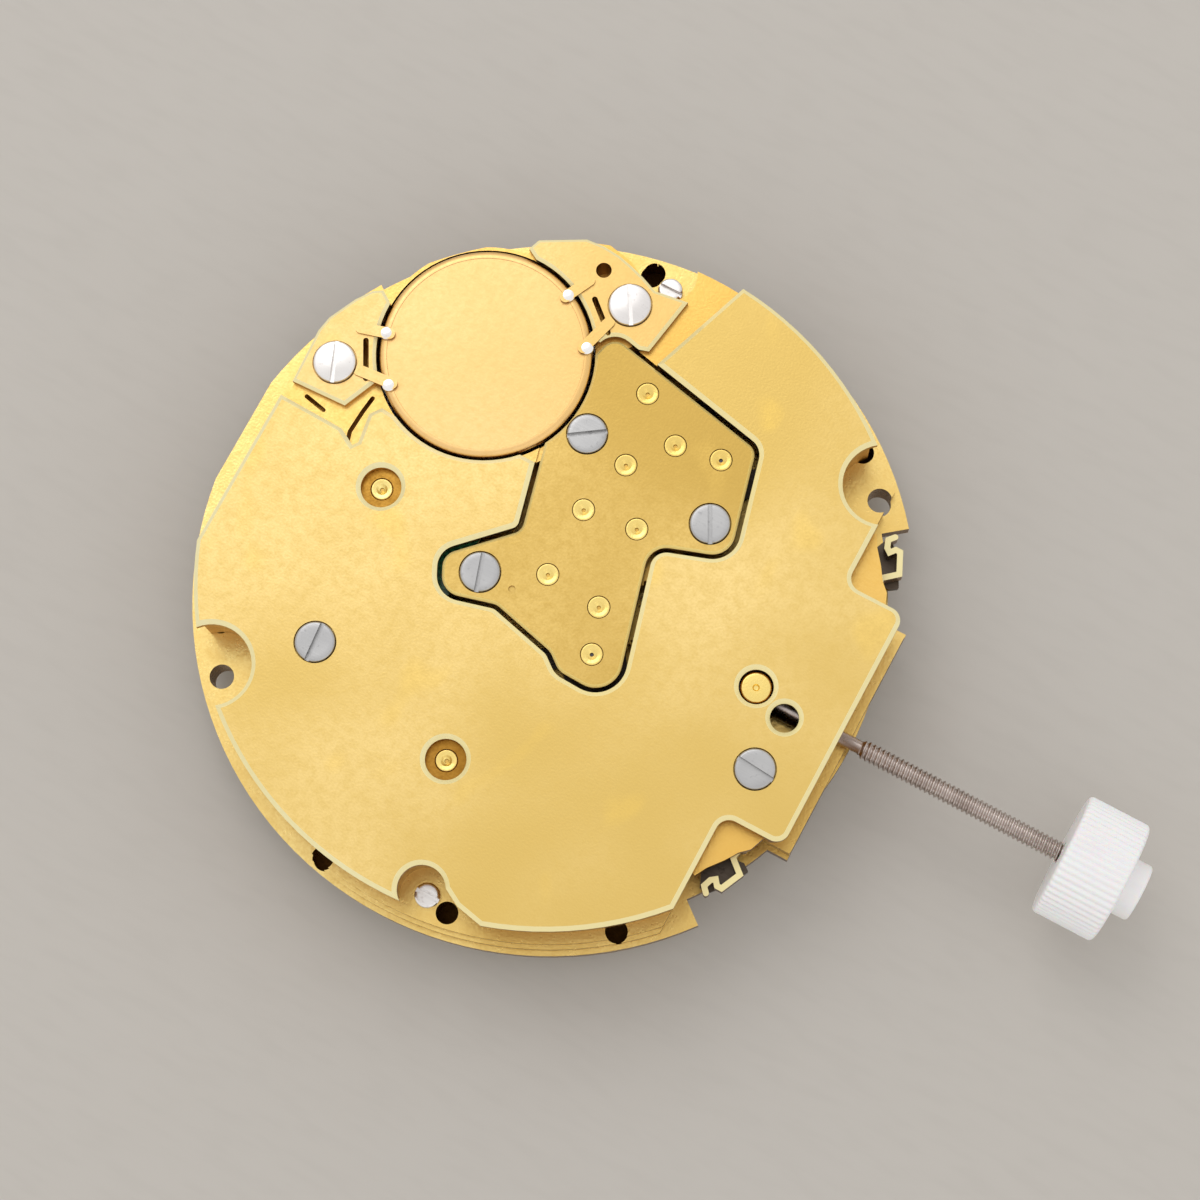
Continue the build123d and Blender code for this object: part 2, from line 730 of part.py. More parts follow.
# Module cover, cut away for the battery clamps and the train bridge
sub_dial_hole_radius = 0.9
button_hole_radius = 0.76
button_radius = 0.7
vent_radius = 0.63
with BuildPart() as module_cover:
    with BuildSketch(Plane.XY.offset(frame_top)) as cover_face:
        add(body_outline(0))
        add(clamp_area(0), mode=Mode.SUBTRACT)
        add(bridge_outline(bridge_gap), mode=Mode.SUBTRACT)
        Polygon(*[across(x, y) for x, y in peninsula_shares], align=None, mode=Mode.SUBTRACT)
        for spot, radius in (
            (day_hour_spot, sub_dial_hole_radius),
            (minute_counter_spot, sub_dial_hole_radius),
            (button_spot, button_hole_radius),
            (vent_spot, vent_radius),
        ):
            with Locations(spot):
                Circle(radius, mode=Mode.SUBTRACT)
    extrude(cover_face.sketch, amount=cover_thickness)
    chamfer(top_edges(module_cover), edge_chamfer)
    for spot in cover_screw_spots:
        post(spot, screw_hole_radius, frame_top, cover_top, Mode.SUBTRACT)
        post(spot, screw_seat_radius, cover_top - screw_seat_depth, cover_top, Mode.SUBTRACT)
module_cover.part.label = "module_cover"

# Train bridge with its pivot bushings
bridge_pivot_spots = [
    small_seconds_spot,
    running_intermediate_spot,
    running_rotor_spot,
    third_spot,
    minute_drive_spot,
    transfer_spot,
    centre,
    chronograph_intermediate_spot,
    chronograph_rotor_spot,
]
counter_pivot_spots = [day_hour_spot, minute_counter_spot]
dimple_radius = 0.16
dimple_depth = 0.1
with BuildPart() as train_bridge:
    slab(bridge_outline(0), bridge_foot, bridge_top)
    chamfer(top_edges(train_bridge), bridge_chamfer)
    for spot in bridge_pivot_spots:
        post(spot, bushing_radius + press_gap, bridge_foot, bridge_top, Mode.SUBTRACT)
    for spot in bridge_screw_spots:
        post(spot, screw_hole_radius, bridge_foot, bridge_top, Mode.SUBTRACT)
        post(spot, screw_seat_radius, bridge_top - screw_seat_depth, bridge_top, Mode.SUBTRACT)
    post(dimple_spot, dimple_radius, bridge_top - dimple_depth, bridge_top, Mode.SUBTRACT)
train_bridge.part.label = "train_bridge"

counter_bend_shares = (-0.29, -0.355)
counter_bend = across(*counter_bend_shares)
counter_path = [day_hour_spot, counter_bend, minute_counter_spot, counter_rotor_spot, counter_post_spots[1]]
counter_bridge_width = 2.4
with BuildPart() as counter_bridge:
    counter_top = counter_bridge_foot + counter_bridge_thickness
    slab(bar_outline(counter_path, counter_bridge_width), counter_bridge_foot, counter_top)
    slab(
        bar_outline([counter_bend, counter_post_spots[0]], counter_bridge_width / 2),
        counter_bridge_foot,
        counter_top,
    )
    for spot in counter_pivot_spots:
        post(spot, bushing_radius + press_gap, counter_bridge_foot, counter_top, Mode.SUBTRACT)
    for spot in (counter_intermediate_spot, counter_rotor_spot):
        post(spot, bushing_hole, counter_bridge_foot, counter_top, Mode.SUBTRACT)
counter_bridge.part.label = "counter_bridge"

with BuildPart() as pivot_bushings:
    for spots, low, high in (
        (bridge_pivot_spots, bridge_foot, bridge_top + bushing_rise),
        (counter_pivot_spots, counter_bridge_foot, counter_top + bushing_rise),
    ):
        for spot in spots:
            post(spot, bushing_radius, low, high)
            post(spot, bushing_sink_radius, high - bushing_sink_depth, high, Mode.SUBTRACT)
            post(spot, bushing_hole, low, high, Mode.SUBTRACT)
pivot_bushings.part.label = "pivot_bushings"

# Screws
clamp_screw_radius = 0.95
clamp_thickness = 0.45
clamp_seat_depth = 0.2
clamp_screw_dome = 0.08
with BuildPart() as module_cover_screws:
    for spot, turn in zip(cover_screw_spots, cover_screw_turns):
        screw(spot, turn, cover_top - screw_seat_depth, screw_shank_length)
module_cover_screws.part.label = "module_cover_screws"

with BuildPart() as train_bridge_screws:
    for spot, turn in zip(bridge_screw_spots, bridge_screw_turns):
        screw(spot, turn, bridge_top - screw_seat_depth, screw_shank_length)
train_bridge_screws.part.label = "train_bridge_screws"

with BuildPart() as battery_clamp_screws:
    for spot, turn in zip(clamp_screw_spots, clamp_screw_turns):
        screw(
            spot,
            turn,
            frame_top + clamp_thickness - clamp_seat_depth,
            screw_shank_length,
            clamp_screw_radius,
            clamp_screw_dome,
        )
battery_clamp_screws.part.label = "battery_clamp_screws"

with BuildPart() as casing_screws:
    for spot in casing_screw_spots:
        screw(spot, 0.0, plate_height, casing_shank_length, casing_head_radius)
casing_screws.part.label = "casing_screws"

# Battery clamps, with tabs that press on the battery
left_clamp_shares = [(-0.916, 0.154), (-0.924, 0.32), (-0.915, 0.368), (-0.875, 0.45), (-0.844, 0.494),
                     (-0.817, 0.511), (-0.785, 0.49), (-0.7, 0.4), (-0.698, 0.275), (-0.748, 0.161)]
right_clamp_shares = [(-0.506, 0.816), (-0.492, 0.851), (-0.372, 0.917), (-0.318, 0.922),
                      (-0.263, 0.917), (-0.219, 0.906), (-0.175, 0.892), (-0.125, 0.872),
                      (-0.026, 0.886), (-0.056, 0.706), (-0.136, 0.681), (-0.201, 0.663), (-0.3, 0.7)]
clamp_tab_width = 0.5
clamp_tab_thickness = 0.12
clamp_tab_gap = 0.02
clamp_tab_root = 0.9
clamp_tab_lap = 0.1
clamp_chamfer = 0.15
left_tab_angles = [(196.3, 196.3), (216.0, 227.0)]
right_tab_angles = [(63.6, 63.6), (42.0, 30.5)]
tab_reaches = [battery_radius + clamp_tab_root, battery_radius - battery_edge - clamp_tab_lap]


def clamp(plate, shares, slot_shares, tab_angles, screw_spot):
    """Adds one clamp plate with its slot, its screw seat and the tabs over the battery."""
    top = frame_top + clamp_thickness
    with BuildSketch(mode=Mode.PRIVATE) as face:
        Polygon(*[across(x, y) for x, y in shares], align=None)
        with Locations(battery_spot):
            Circle(battery_radius + battery_clearance, mode=Mode.SUBTRACT)
        add(bridge_outline(bridge_gap), mode=Mode.SUBTRACT)
    slab(face.sketch, frame_top, top)
    chamfer(top_edges(plate), clamp_chamfer)
    slot = bar_outline([across(x, y) for x, y in slot_shares], clamp_slot_width)
    slab(slot, frame_top, top, Mode.SUBTRACT)
    tab_foot = battery_base + battery_height + clamp_tab_gap
    for angles in tab_angles:
        ends = [polar(battery_spot, reach, angle) for reach, angle in zip(tab_reaches, angles)]
        slab(bar_outline(ends, clamp_tab_width), tab_foot, tab_foot + clamp_tab_thickness)
    post(screw_spot, screw_hole_radius, frame_top, top, Mode.SUBTRACT)
    post(screw_spot, clamp_screw_radius + face_gap, top - clamp_seat_depth, top + clamp_tab_thickness,
         Mode.SUBTRACT)


with BuildPart() as battery_clamp_left:
    clamp(battery_clamp_left, left_clamp_shares, left_slot_shares, left_tab_angles, clamp_screw_spots[0])
battery_clamp_left.part.label = "battery_clamp_left"

with BuildPart() as battery_clamp_right:
    clamp(battery_clamp_right, right_clamp_shares, right_slot_shares, right_tab_angles, clamp_screw_spots[1])
    post(clamp_hole_spot, clamp_hole_radius, frame_top, frame_top + clamp_thickness, Mode.SUBTRACT)
battery_clamp_right.part.label = "battery_clamp_right"

# Battery, cap down
battery_top = battery_base + battery_height
cap_height = 3.2
can_foot_gap = 0.15
with BuildPart() as battery_can:
    post(battery_spot, battery_radius, battery_base + can_foot_gap, battery_top)
    chamfer(battery_can.edges().filter_by(GeomType.CIRCLE).group_by(Axis.Z)[-1], battery_edge)
    post(battery_spot, battery_radius - can_wall, battery_base + can_foot_gap, battery_top - 2 * can_wall,
         Mode.SUBTRACT)
battery_can.part.label = "battery_can"

with BuildPart() as battery_gasket:
    post(battery_spot, battery_radius - can_wall - face_gap, battery_base + can_foot_gap,
         battery_base + can_foot_gap + gasket_height)
    post(battery_spot, cap_radius + face_gap, battery_base, battery_base + 2 * gasket_height, Mode.SUBTRACT)
battery_gasket.part.label = "battery_gasket"

with BuildPart() as battery_cap:
    post(battery_spot, cap_radius, battery_base, battery_base + cap_height - 2 * can_wall)
    post(battery_spot, cap_radius - can_wall, battery_base + can_wall, battery_base + cap_height,
         Mode.SUBTRACT)
battery_cap.part.label = "battery_cap"

with BuildPart() as battery_cell:
    post(battery_spot, cap_radius - can_wall - face_gap, battery_base + can_wall + face_gap,
         battery_base + cap_height - can_wall)
battery_cell.part.label = "battery_cell"

insulator_gap = 0.03
insulator_height = 2.0
with BuildPart() as battery_insulator:
    post(battery_spot, battery_radius + battery_clearance - insulator_gap, battery_base,
         battery_base + insulator_height)
    post(battery_spot, battery_radius + insulator_gap, battery_base, battery_base + insulator_height,
         Mode.SUBTRACT)
battery_insulator.part.label = "battery_insulator"

contact_pin_radius = 0.3
with BuildPart() as negative_contact:
    slab(bar_outline(contact_strip_path, contact_strip_width), contact_strip_foot,
         contact_strip_foot + contact_strip_thickness)
    post(contact_strip_path[-1], contact_pin_radius, contact_strip_foot, board_foot)
negative_contact.part.label = "negative_contact"

# Circuit board with its chip and crystal
board_shares = [(-0.826, -0.31), (-0.826, 0.028), (-0.232, 0.028), (-0.232, -0.387), (-0.677, -0.387)]
board_hole_radius = 0.5
chip_size = 2.4
chip_height = 0.6
chip_shares = (-0.4, -0.14)
chip_spot = across(*chip_shares)
crystal_shares = (-0.55, -0.29)
crystal_spot = across(*crystal_shares)
crystal_length = 5.0
crystal_radius = 0.72
with BuildPart() as circuit_board:
    with BuildSketch(Plane.XY.offset(board_foot)) as board_face:
        Polygon(*[across(x, y) for x, y in board_shares], align=None)
    extrude(board_face.sketch, amount=board_thickness)
    post(day_hour_spot, board_hole_radius, board_foot, board_foot + board_thickness, Mode.SUBTRACT)
circuit_board.part.label = "circuit_board"

with BuildPart() as ic_chip:
    with Locations((chip_spot[0], chip_spot[1], board_foot - chip_height)):
        Box(chip_size, chip_size, chip_height, align=base_align)
ic_chip.part.label = "ic_chip"

with BuildPart() as quartz_crystal:
    crystal_axis = board_foot - crystal_radius - face_gap
    with Locations(Location((crystal_spot[0], crystal_spot[1], crystal_axis), (0, 90, 0))):
        Cylinder(crystal_radius, crystal_length)
quartz_crystal.part.label = "quartz_crystal"

# Coils and stators of the three motors
coil_shares = [(0.29, 0.758), (0.129, -0.329), (0.406, -0.684)]
coil_angles = [-10.0, 0.0, 27.0]
coil_spots = [across(*place) for place in coil_shares]
rotor_spots = [running_rotor_spot, chronograph_rotor_spot, counter_rotor_spot]
coil_places = list(zip(coil_spots, coil_angles, rotor_spots))
stator_side = 1.1
with BuildPart() as coil_cores:
    for spot, angle, rotor_spot in coil_places:
        ends = [polar(spot, -core_reach, angle), polar(spot, core_reach, angle)]
        with BuildSketch(Plane.XY.offset(coil_axis - core_height / 2)) as bar_face:
            with Locations(Location((spot[0], spot[1], 0), (0, 0, angle))):
                Rectangle(2 * core_reach, core_width)
        extrude(bar_face.sketch, amount=core_height)
        for end in ends:
            post(end, core_lug_radius, plate_height + stator_thickness, coil_axis + core_height / 2)
coil_cores.part.label = "coil_cores"

coil_bore_width = 0.7
coil_bore_height = 0.5
with BuildPart() as coil_windings:
    for spot, angle, rotor_spot in coil_places:
        with Locations(Location((spot[0], spot[1], coil_axis), (0, 90, angle))):
            Cylinder(coil_radius, coil_length)
        with Locations(Location((spot[0], spot[1], coil_axis), (0, 0, angle))):
            Box(2 * core_reach, coil_bore_width, coil_bore_height, mode=Mode.SUBTRACT)
coil_windings.part.label = "coil_windings"

with BuildPart() as stators:
    for spot, angle, rotor_spot in coil_places:
        with BuildSketch(Plane.XY.offset(plate_height)) as stator_face:
            for side in (-1, 1):
                end = polar(spot, side * core_reach, angle)
                foot = polar(rotor_spot, side * stator_side, angle)
                add(bar_outline([foot, end], stator_leg_width))
            with Locations(rotor_spot):
                Circle(stator_radius)
                Circle(stator_hole, mode=Mode.SUBTRACT)
        extrude(stator_face.sketch, amount=stator_thickness)
stators.part.label = "stators"

# Meshes of the three trains and of the dial side
rotor_teeth = 8
fast_teeth = 48
slow_pinion_teeth = 10
slow_teeth = 50
seconds_pinion_teeth = 25
third_teeth = 40
third_pinion_teeth = 16
transfer_teeth = 48
drive_pinion_teeth = 20
cannon_teeth = 12
minute_wheel_teeth = 36
minute_pinion_teeth = 10
hour_teeth = 40
idler_pinion_teeth = 20
day_hour_teeth = 40
running_rotor_mesh, running_fast_mesh = mesh(
    running_rotor_spot, rotor_teeth, running_intermediate_spot, fast_teeth
)
running_slow_mesh, small_seconds_mesh = mesh(
    running_intermediate_spot, slow_pinion_teeth, small_seconds_spot, slow_teeth
)
seconds_pinion_mesh, third_mesh = mesh(small_seconds_spot, seconds_pinion_teeth, third_spot, third_teeth)
third_pinion_mesh, transfer_mesh = mesh(third_spot, third_pinion_teeth, transfer_spot, transfer_teeth)
transfer_pinion_mesh, drive_mesh = mesh(transfer_spot, slow_pinion_teeth, minute_drive_spot, slow_teeth)
drive_pinion_mesh, centre_minute_mesh = mesh(minute_drive_spot, drive_pinion_teeth, centre, slow_teeth)
chronograph_rotor_mesh, chronograph_fast_mesh = mesh(
    chronograph_rotor_spot, rotor_teeth, chronograph_intermediate_spot, fast_teeth
)
chronograph_slow_mesh, centre_seconds_mesh = mesh(
    chronograph_intermediate_spot, slow_pinion_teeth, centre, slow_teeth
)
counter_rotor_mesh, counter_fast_mesh = mesh(
    counter_rotor_spot, rotor_teeth, counter_intermediate_spot, fast_teeth
)
counter_slow_mesh, minute_counter_mesh = mesh(
    counter_intermediate_spot, slow_pinion_teeth, minute_counter_spot, slow_teeth
)
cannon_mesh, minute_wheel_mesh = mesh(centre, cannon_teeth, minute_wheel_spot, minute_wheel_teeth)
minute_pinion_mesh, hour_mesh = mesh(minute_wheel_spot, minute_pinion_teeth, centre, hour_teeth)
idler_mesh = mesh(centre, hour_teeth, idler_spot, hour_teeth)[1]
idler_pinion_mesh, day_hour_mesh = mesh(idler_spot, idler_pinion_teeth, day_hour_spot, day_hour_teeth)
setting_teeth = 10
setting_mesh = mesh(minute_wheel_spot, minute_wheel_teeth, setting_wheel_spot, setting_teeth)[1]
arbor_foot = plate_height + face_gap
arbor_top = bridge_foot - face_gap
counter_arbor_top = counter_bridge_foot - face_gap


def counter_arbor(spot, high):
    """Adds the arbor of a sub-dial hand, tapered to a thinner seat for the hand at its free end."""
    seat_end = small_seat_length - counter_reach
    taper_end = seat_end + seat_taper_length
    post(spot, small_seat_radius, -counter_reach, seat_end)
    taper(spot, small_seat_radius, counter_arbor_radius, seat_end, taper_end)
    post(spot, counter_arbor_radius, taper_end, high)


def rotor(spot, level, pinion_mesh, top):
    """Adds a magnet rotor with its pinion."""
    arbor(spot, arbor_foot, top)
    post(spot, magnet_radius, arbor_foot, arbor_foot + magnet_length)
    pinion_at(spot, rotor_teeth, *pinion_mesh, level)


with BuildPart() as running_rotor:
    rotor(running_rotor_spot, level_fast, running_rotor_mesh, arbor_top)
running_rotor.part.label = "running_rotor"

with BuildPart() as chronograph_rotor:
    rotor(chronograph_rotor_spot, level_third, chronograph_rotor_mesh, arbor_top)
chronograph_rotor.part.label = "chronograph_rotor"

with BuildPart() as counter_rotor:
    rotor(counter_rotor_spot, level_counter, counter_rotor_mesh, counter_arbor_top)
counter_rotor.part.label = "counter_rotor"

with BuildPart() as running_intermediate_wheel:
    arbor(running_intermediate_spot, arbor_foot, arbor_top)
    wheel_at(running_intermediate_spot, fast_teeth, *running_fast_mesh, level_fast)
    pinion_at(running_intermediate_spot, slow_pinion_teeth, *running_slow_mesh, level_running)
running_intermediate_wheel.part.label = "running_intermediate_wheel"

with BuildPart() as small_seconds_wheel:
    counter_arbor(small_seconds_spot, arbor_foot + wheel_thickness)
    post(small_seconds_spot, arbor_radius, arbor_foot, arbor_top)
    post(small_seconds_spot, pivot_radius, arbor_top, arbor_top + pivot_length)
    wheel_at(small_seconds_spot, slow_teeth, *small_seconds_mesh, level_running)
    pinion_at(small_seconds_spot, seconds_pinion_teeth, *seconds_pinion_mesh, level_third)
small_seconds_wheel.part.label = "small_seconds_wheel"

with BuildPart() as third_wheel:
    arbor(third_spot, arbor_foot, arbor_top)
    wheel_at(third_spot, third_teeth, *third_mesh, level_third)
    pinion_at(third_spot, third_pinion_teeth, *third_pinion_mesh, level_transfer)
third_wheel.part.label = "third_wheel"

with BuildPart() as transfer_wheel:
    arbor(transfer_spot, arbor_foot, arbor_top)
    wheel_at(transfer_spot, transfer_teeth, *transfer_mesh, level_transfer)
    pinion_at(transfer_spot, slow_pinion_teeth, *transfer_pinion_mesh, level_running)
transfer_wheel.part.label = "transfer_wheel"

with BuildPart() as minute_drive_wheel:
    arbor(minute_drive_spot, arbor_foot, arbor_top)
    wheel_at(minute_drive_spot, slow_teeth, *drive_mesh, level_running)
    pinion_at(minute_drive_spot, drive_pinion_teeth, *drive_pinion_mesh, level_minutes)
minute_drive_wheel.part.label = "minute_drive_wheel"

with BuildPart() as centre_minute_wheel:
    post(centre, drive_tube_radius, face_gap - minute_reach, level_minutes + wheel_thickness)
    wheel_at(centre, slow_teeth, *centre_minute_mesh, level_minutes)
    post(centre, drive_tube_bore, -minute_reach, level_minutes + 2 * wheel_thickness, Mode.SUBTRACT)
centre_minute_wheel.part.label = "centre_minute_wheel"

with BuildPart() as chronograph_intermediate_wheel:
    arbor(chronograph_intermediate_spot, arbor_foot, arbor_top)
    wheel_at(chronograph_intermediate_spot, fast_teeth, *chronograph_fast_mesh, level_third)
    pinion_at(chronograph_intermediate_spot, slow_pinion_teeth, *chronograph_slow_mesh, level_fast)
chronograph_intermediate_wheel.part.label = "chronograph_intermediate_wheel"

with BuildPart() as centre_seconds_wheel:
    seat_end = small_seat_length - seconds_reach
    taper_end = seat_end + seat_taper_length
    post(centre, small_seat_radius, -seconds_reach, seat_end)
    taper(centre, small_seat_radius, arbor_radius, seat_end, taper_end)
    post(centre, arbor_radius, taper_end, arbor_top)
    post(centre, pivot_radius, arbor_top, arbor_top + pivot_length)
    wheel_at(centre, slow_teeth, *centre_seconds_mesh, level_fast)
centre_seconds_wheel.part.label = "centre_seconds_wheel"

with BuildPart() as counter_intermediate_wheel:
    arbor(counter_intermediate_spot, arbor_foot, counter_arbor_top)
    wheel_at(counter_intermediate_spot, fast_teeth, *counter_fast_mesh, level_counter)
    pinion_at(counter_intermediate_spot, slow_pinion_teeth, *counter_slow_mesh, level_running)
counter_intermediate_wheel.part.label = "counter_intermediate_wheel"

with BuildPart() as minute_counter_wheel:
    counter_arbor(minute_counter_spot, arbor_foot + wheel_thickness)
    post(minute_counter_spot, arbor_radius, arbor_foot, counter_arbor_top)
    post(minute_counter_spot, pivot_radius, counter_arbor_top, counter_arbor_top + pivot_length / 2)
    wheel_at(minute_counter_spot, slow_teeth, *minute_counter_mesh, level_running)
minute_counter_wheel.part.label = "minute_counter_wheel"

# Dial side: hands, day-hour train and calendar
hour_level = 0.28
hour_disc_thickness = 0.16
motion_level = 0.71
motion_thickness = 0.18
cannon_pinion_foot = 0.42
cannon_top = 0.8
finger_foot = 0.42
finger_thickness = 0.1
finger_reach = 3.15
finger_width = 0.5
low_pivot_foot = 0.04
works_arbor_foot = 0.18
works_arbor_top = 0.9
with BuildPart() as cannon_pinion:
    seat_end = minute_seat_length - minute_reach
    taper_end = seat_end + seat_taper_length
    post(centre, minute_seat_radius, -minute_reach, seat_end)
    taper(centre, minute_seat_radius, minute_shoulder_radius, seat_end, taper_end)
    post(centre, minute_shoulder_radius, taper_end, cannon_top)
    gear(centre, cannon_teeth, *cannon_mesh, cannon_pinion_foot, cannon_top)
    post(centre, minute_tube_radius, -minute_reach, cannon_top, Mode.SUBTRACT)
cannon_pinion.part.label = "cannon_pinion"

with BuildPart() as hour_wheel:
    seat_end = hour_seat_length - hour_reach
    disc_foot = hour_level - hour_disc_thickness / 2
    post(centre, hour_seat_radius, -hour_reach, seat_end)
    taper(centre, hour_seat_radius, hour_shoulder_radius, seat_end, disc_foot)
    gear(centre, hour_teeth, *hour_mesh, disc_foot, disc_foot + hour_disc_thickness)
    post(centre, hour_bore_radius, -hour_reach, hour_level + hour_disc_thickness, Mode.SUBTRACT)
hour_wheel.part.label = "hour_wheel"


def works_arbor(spot):
    """Adds an arbor that turns between the date ring plate and the main plate."""
    post(spot, arbor_radius, works_arbor_foot, works_arbor_top)
    post(spot, pivot_radius, low_pivot_foot, works_arbor_foot)
    post(spot, pivot_radius, works_arbor_top, works_arbor_top + pivot_length)


with BuildPart() as minute_wheel:
    works_arbor(minute_wheel_spot)
    gear(minute_wheel_spot, minute_wheel_teeth, *minute_wheel_mesh, motion_level - motion_thickness / 2,
         motion_level + motion_thickness / 2)
    gear(minute_wheel_spot, minute_pinion_teeth, *minute_pinion_mesh, hour_level - hour_disc_thickness / 2,
         hour_level + hour_disc_thickness / 2)
minute_wheel.part.label = "minute_wheel"

with BuildPart() as day_hour_idler:
    works_arbor(idler_spot)
    gear(idler_spot, hour_teeth, *idler_mesh, hour_level - hour_disc_thickness / 2,
         hour_level + hour_disc_thickness / 2)
    gear(idler_spot, idler_pinion_teeth, *idler_pinion_mesh, motion_level - motion_thickness / 2,
         motion_level + motion_thickness / 2)
day_hour_idler.part.label = "day_hour_idler"

with BuildPart() as day_hour_wheel:
    counter_arbor(day_hour_spot, counter_arbor_top)
    post(day_hour_spot, pivot_radius, counter_arbor_top, counter_arbor_top + pivot_length / 2)
    gear(day_hour_spot, day_hour_teeth, *day_hour_mesh, motion_level - motion_thickness / 2,
         motion_level + motion_thickness / 2)
day_hour_wheel.part.label = "day_hour_wheel"

finger_hub_radius = 0.6
with BuildPart() as date_finger:
    finger_end = polar(day_hour_spot, finger_reach - finger_width / 2, 0)
    finger_top = finger_foot + finger_thickness
    slab(bar_outline([day_hour_spot, finger_end], finger_width), finger_foot, finger_top)
    post(day_hour_spot, finger_hub_radius, finger_foot, finger_top)
    post(day_hour_spot, counter_arbor_radius + press_gap, finger_foot, finger_top, Mode.SUBTRACT)
date_finger.part.label = "date_finger"

ring_tooth_root_share = 0.16
ring_tooth_tip_share = 0.08
with BuildPart() as date_ring:
    with BuildSketch(Plane.XY.offset(ring_foot)) as ring_face:
        Circle(ring_outer_radius)
        Circle(ring_inner_radius, mode=Mode.SUBTRACT)
    extrude(ring_face.sketch, amount=ring_thickness)
    ring_top = ring_foot + ring_thickness
    ring_pitch = 360 / ring_teeth
    with BuildSketch(Plane.XY.offset(ring_top - ring_tooth_thickness)) as ring_teeth_face:
        Circle(ring_inner_radius + ring_tooth_height)
        Circle(ring_inner_radius, mode=Mode.SUBTRACT)
        tooth_tip = ring_inner_radius - ring_tooth_height
        tooth_root = ring_inner_radius + ring_tooth_height / 2
        with PolarLocations(0, ring_teeth):
            Polygon(
                polar(centre, tooth_root, -ring_tooth_root_share * ring_pitch),
                polar(centre, tooth_tip, -ring_tooth_tip_share * ring_pitch),
                polar(centre, tooth_tip, ring_tooth_tip_share * ring_pitch),
                polar(centre, tooth_root, ring_tooth_root_share * ring_pitch),
                align=None,
            )
    extrude(ring_teeth_face.sketch, amount=ring_tooth_thickness)
date_ring.part.label = "date_ring"

jumper_beak_radius = 0.25
jumper_beak_reach = ring_inner_radius - ring_tooth_height - jumper_beak_radius - face_gap
jumper_width = 0.4
jumper_gap_count = 2.5
with BuildPart() as date_jumper:
    beak_spot = polar(centre, jumper_beak_reach, -jumper_gap_count * ring_pitch)
    jumper_foot = ring_top - ring_tooth_thickness
    slab(bar_outline([jumper_spot, beak_spot], jumper_width), jumper_foot, ring_top)
    post(jumper_spot, 2 * jumper_post_radius, jumper_foot, ring_top)
    post(beak_spot, jumper_beak_radius, jumper_foot, ring_top)
    post(jumper_spot, jumper_post_radius + running_clearance, jumper_foot, ring_top, Mode.SUBTRACT)
date_jumper.part.label = "date_jumper"

date_plate_hole = 0.9
date_plate_pin_hole = 0.25
date_plate_top = date_plate_foot + date_plate_thickness
with BuildPart() as date_ring_plate:
    post(centre, date_plate_radius, date_plate_foot, date_plate_top)
    post(centre, date_plate_hole, date_plate_foot, date_plate_top, Mode.SUBTRACT)
    for spot in (small_seconds_spot, minute_counter_spot, day_hour_spot):
        post(spot, date_plate_pin_hole, date_plate_foot, date_plate_top, Mode.SUBTRACT)
    for spot in (minute_wheel_spot, idler_spot, setting_wheel_spot):
        post(spot, bushing_hole, date_plate_foot, date_plate_top, Mode.SUBTRACT)
    for spot in date_post_spots:
        with Locations((spot[0], spot[1], date_plate_foot)):
            Cone(
                date_screw_radius + face_gap,
                date_shank_radius + face_gap,
                date_plate_thickness,
                align=base_align,
                mode=Mode.SUBTRACT,
            )
date_ring_plate.part.label = "date_ring_plate"

with BuildPart() as date_plate_screws:
    for spot in date_post_spots:
        with Locations((spot[0], spot[1], date_plate_foot)):
            Cone(date_screw_radius, date_shank_radius, date_plate_thickness, align=base_align)
        post(spot, date_shank_radius, date_plate_top, calendar_depth)
        with Locations((spot[0], spot[1], date_plate_foot)):
            Box(2 * date_screw_radius, screw_slot_width / 2, date_plate_thickness, mode=Mode.SUBTRACT)
date_plate_screws.part.label = "date_plate_screws"

# Hand setting
setting_wheel_thickness = 0.25
setting_wheel_radius = 2.3
setting_upper_teeth = 36
with BuildPart() as setting_wheel:
    post(setting_wheel_spot, arbor_radius, works_arbor_foot, setting_wheel_foot)
    post(setting_wheel_spot, pivot_radius, low_pivot_foot, works_arbor_foot)
    gear(setting_wheel_spot, setting_teeth, *setting_mesh, motion_level - motion_thickness / 2,
         setting_wheel_foot)
    gear(setting_wheel_spot, setting_upper_teeth, setting_wheel_radius, 0, setting_wheel_foot,
         setting_wheel_foot + setting_wheel_thickness)
setting_wheel.part.label = "setting_wheel"


def along(start, length, radius, mode=Mode.ADD):
    """Adds or cuts a round bar along the stem axis."""
    with Locations(Location((start, 0, stem_axis), (0, 90, 0))):
        Cylinder(radius, length, align=base_align, mode=mode)


pinion_end_teeth = 12
pinion_tooth_depth = 0.2
pinion_tooth_width = 0.22
square_gap = 0.03
with BuildPart() as setting_pinion:
    along(pinion_start, pinion_reach, pinion_radius)
    with BuildPart(mode=Mode.PRIVATE) as groove_ring:
        along(pinion_groove_start, pinion_groove_width, 2 * pinion_radius)
        along(pinion_groove_start, pinion_groove_width, pinion_groove_radius, Mode.SUBTRACT)
    add(groove_ring.part, mode=Mode.SUBTRACT)
    with Locations((pinion_start, 0, stem_axis)):
        Box(
            pinion_reach,
            stem_square + 2 * square_gap,
            stem_square + 2 * square_gap,
            align=(Align.MIN, Align.CENTER, Align.CENTER),
            mode=Mode.SUBTRACT,
        )
    for step in range(pinion_end_teeth // 2):
        with Locations(Location((pinion_start, 0, stem_axis), (step * 360 / pinion_end_teeth, 0, 0))):
            Box(2 * pinion_tooth_depth, pinion_tooth_width, 3 * pinion_radius, mode=Mode.SUBTRACT)
setting_pinion.part.label = "setting_pinion"

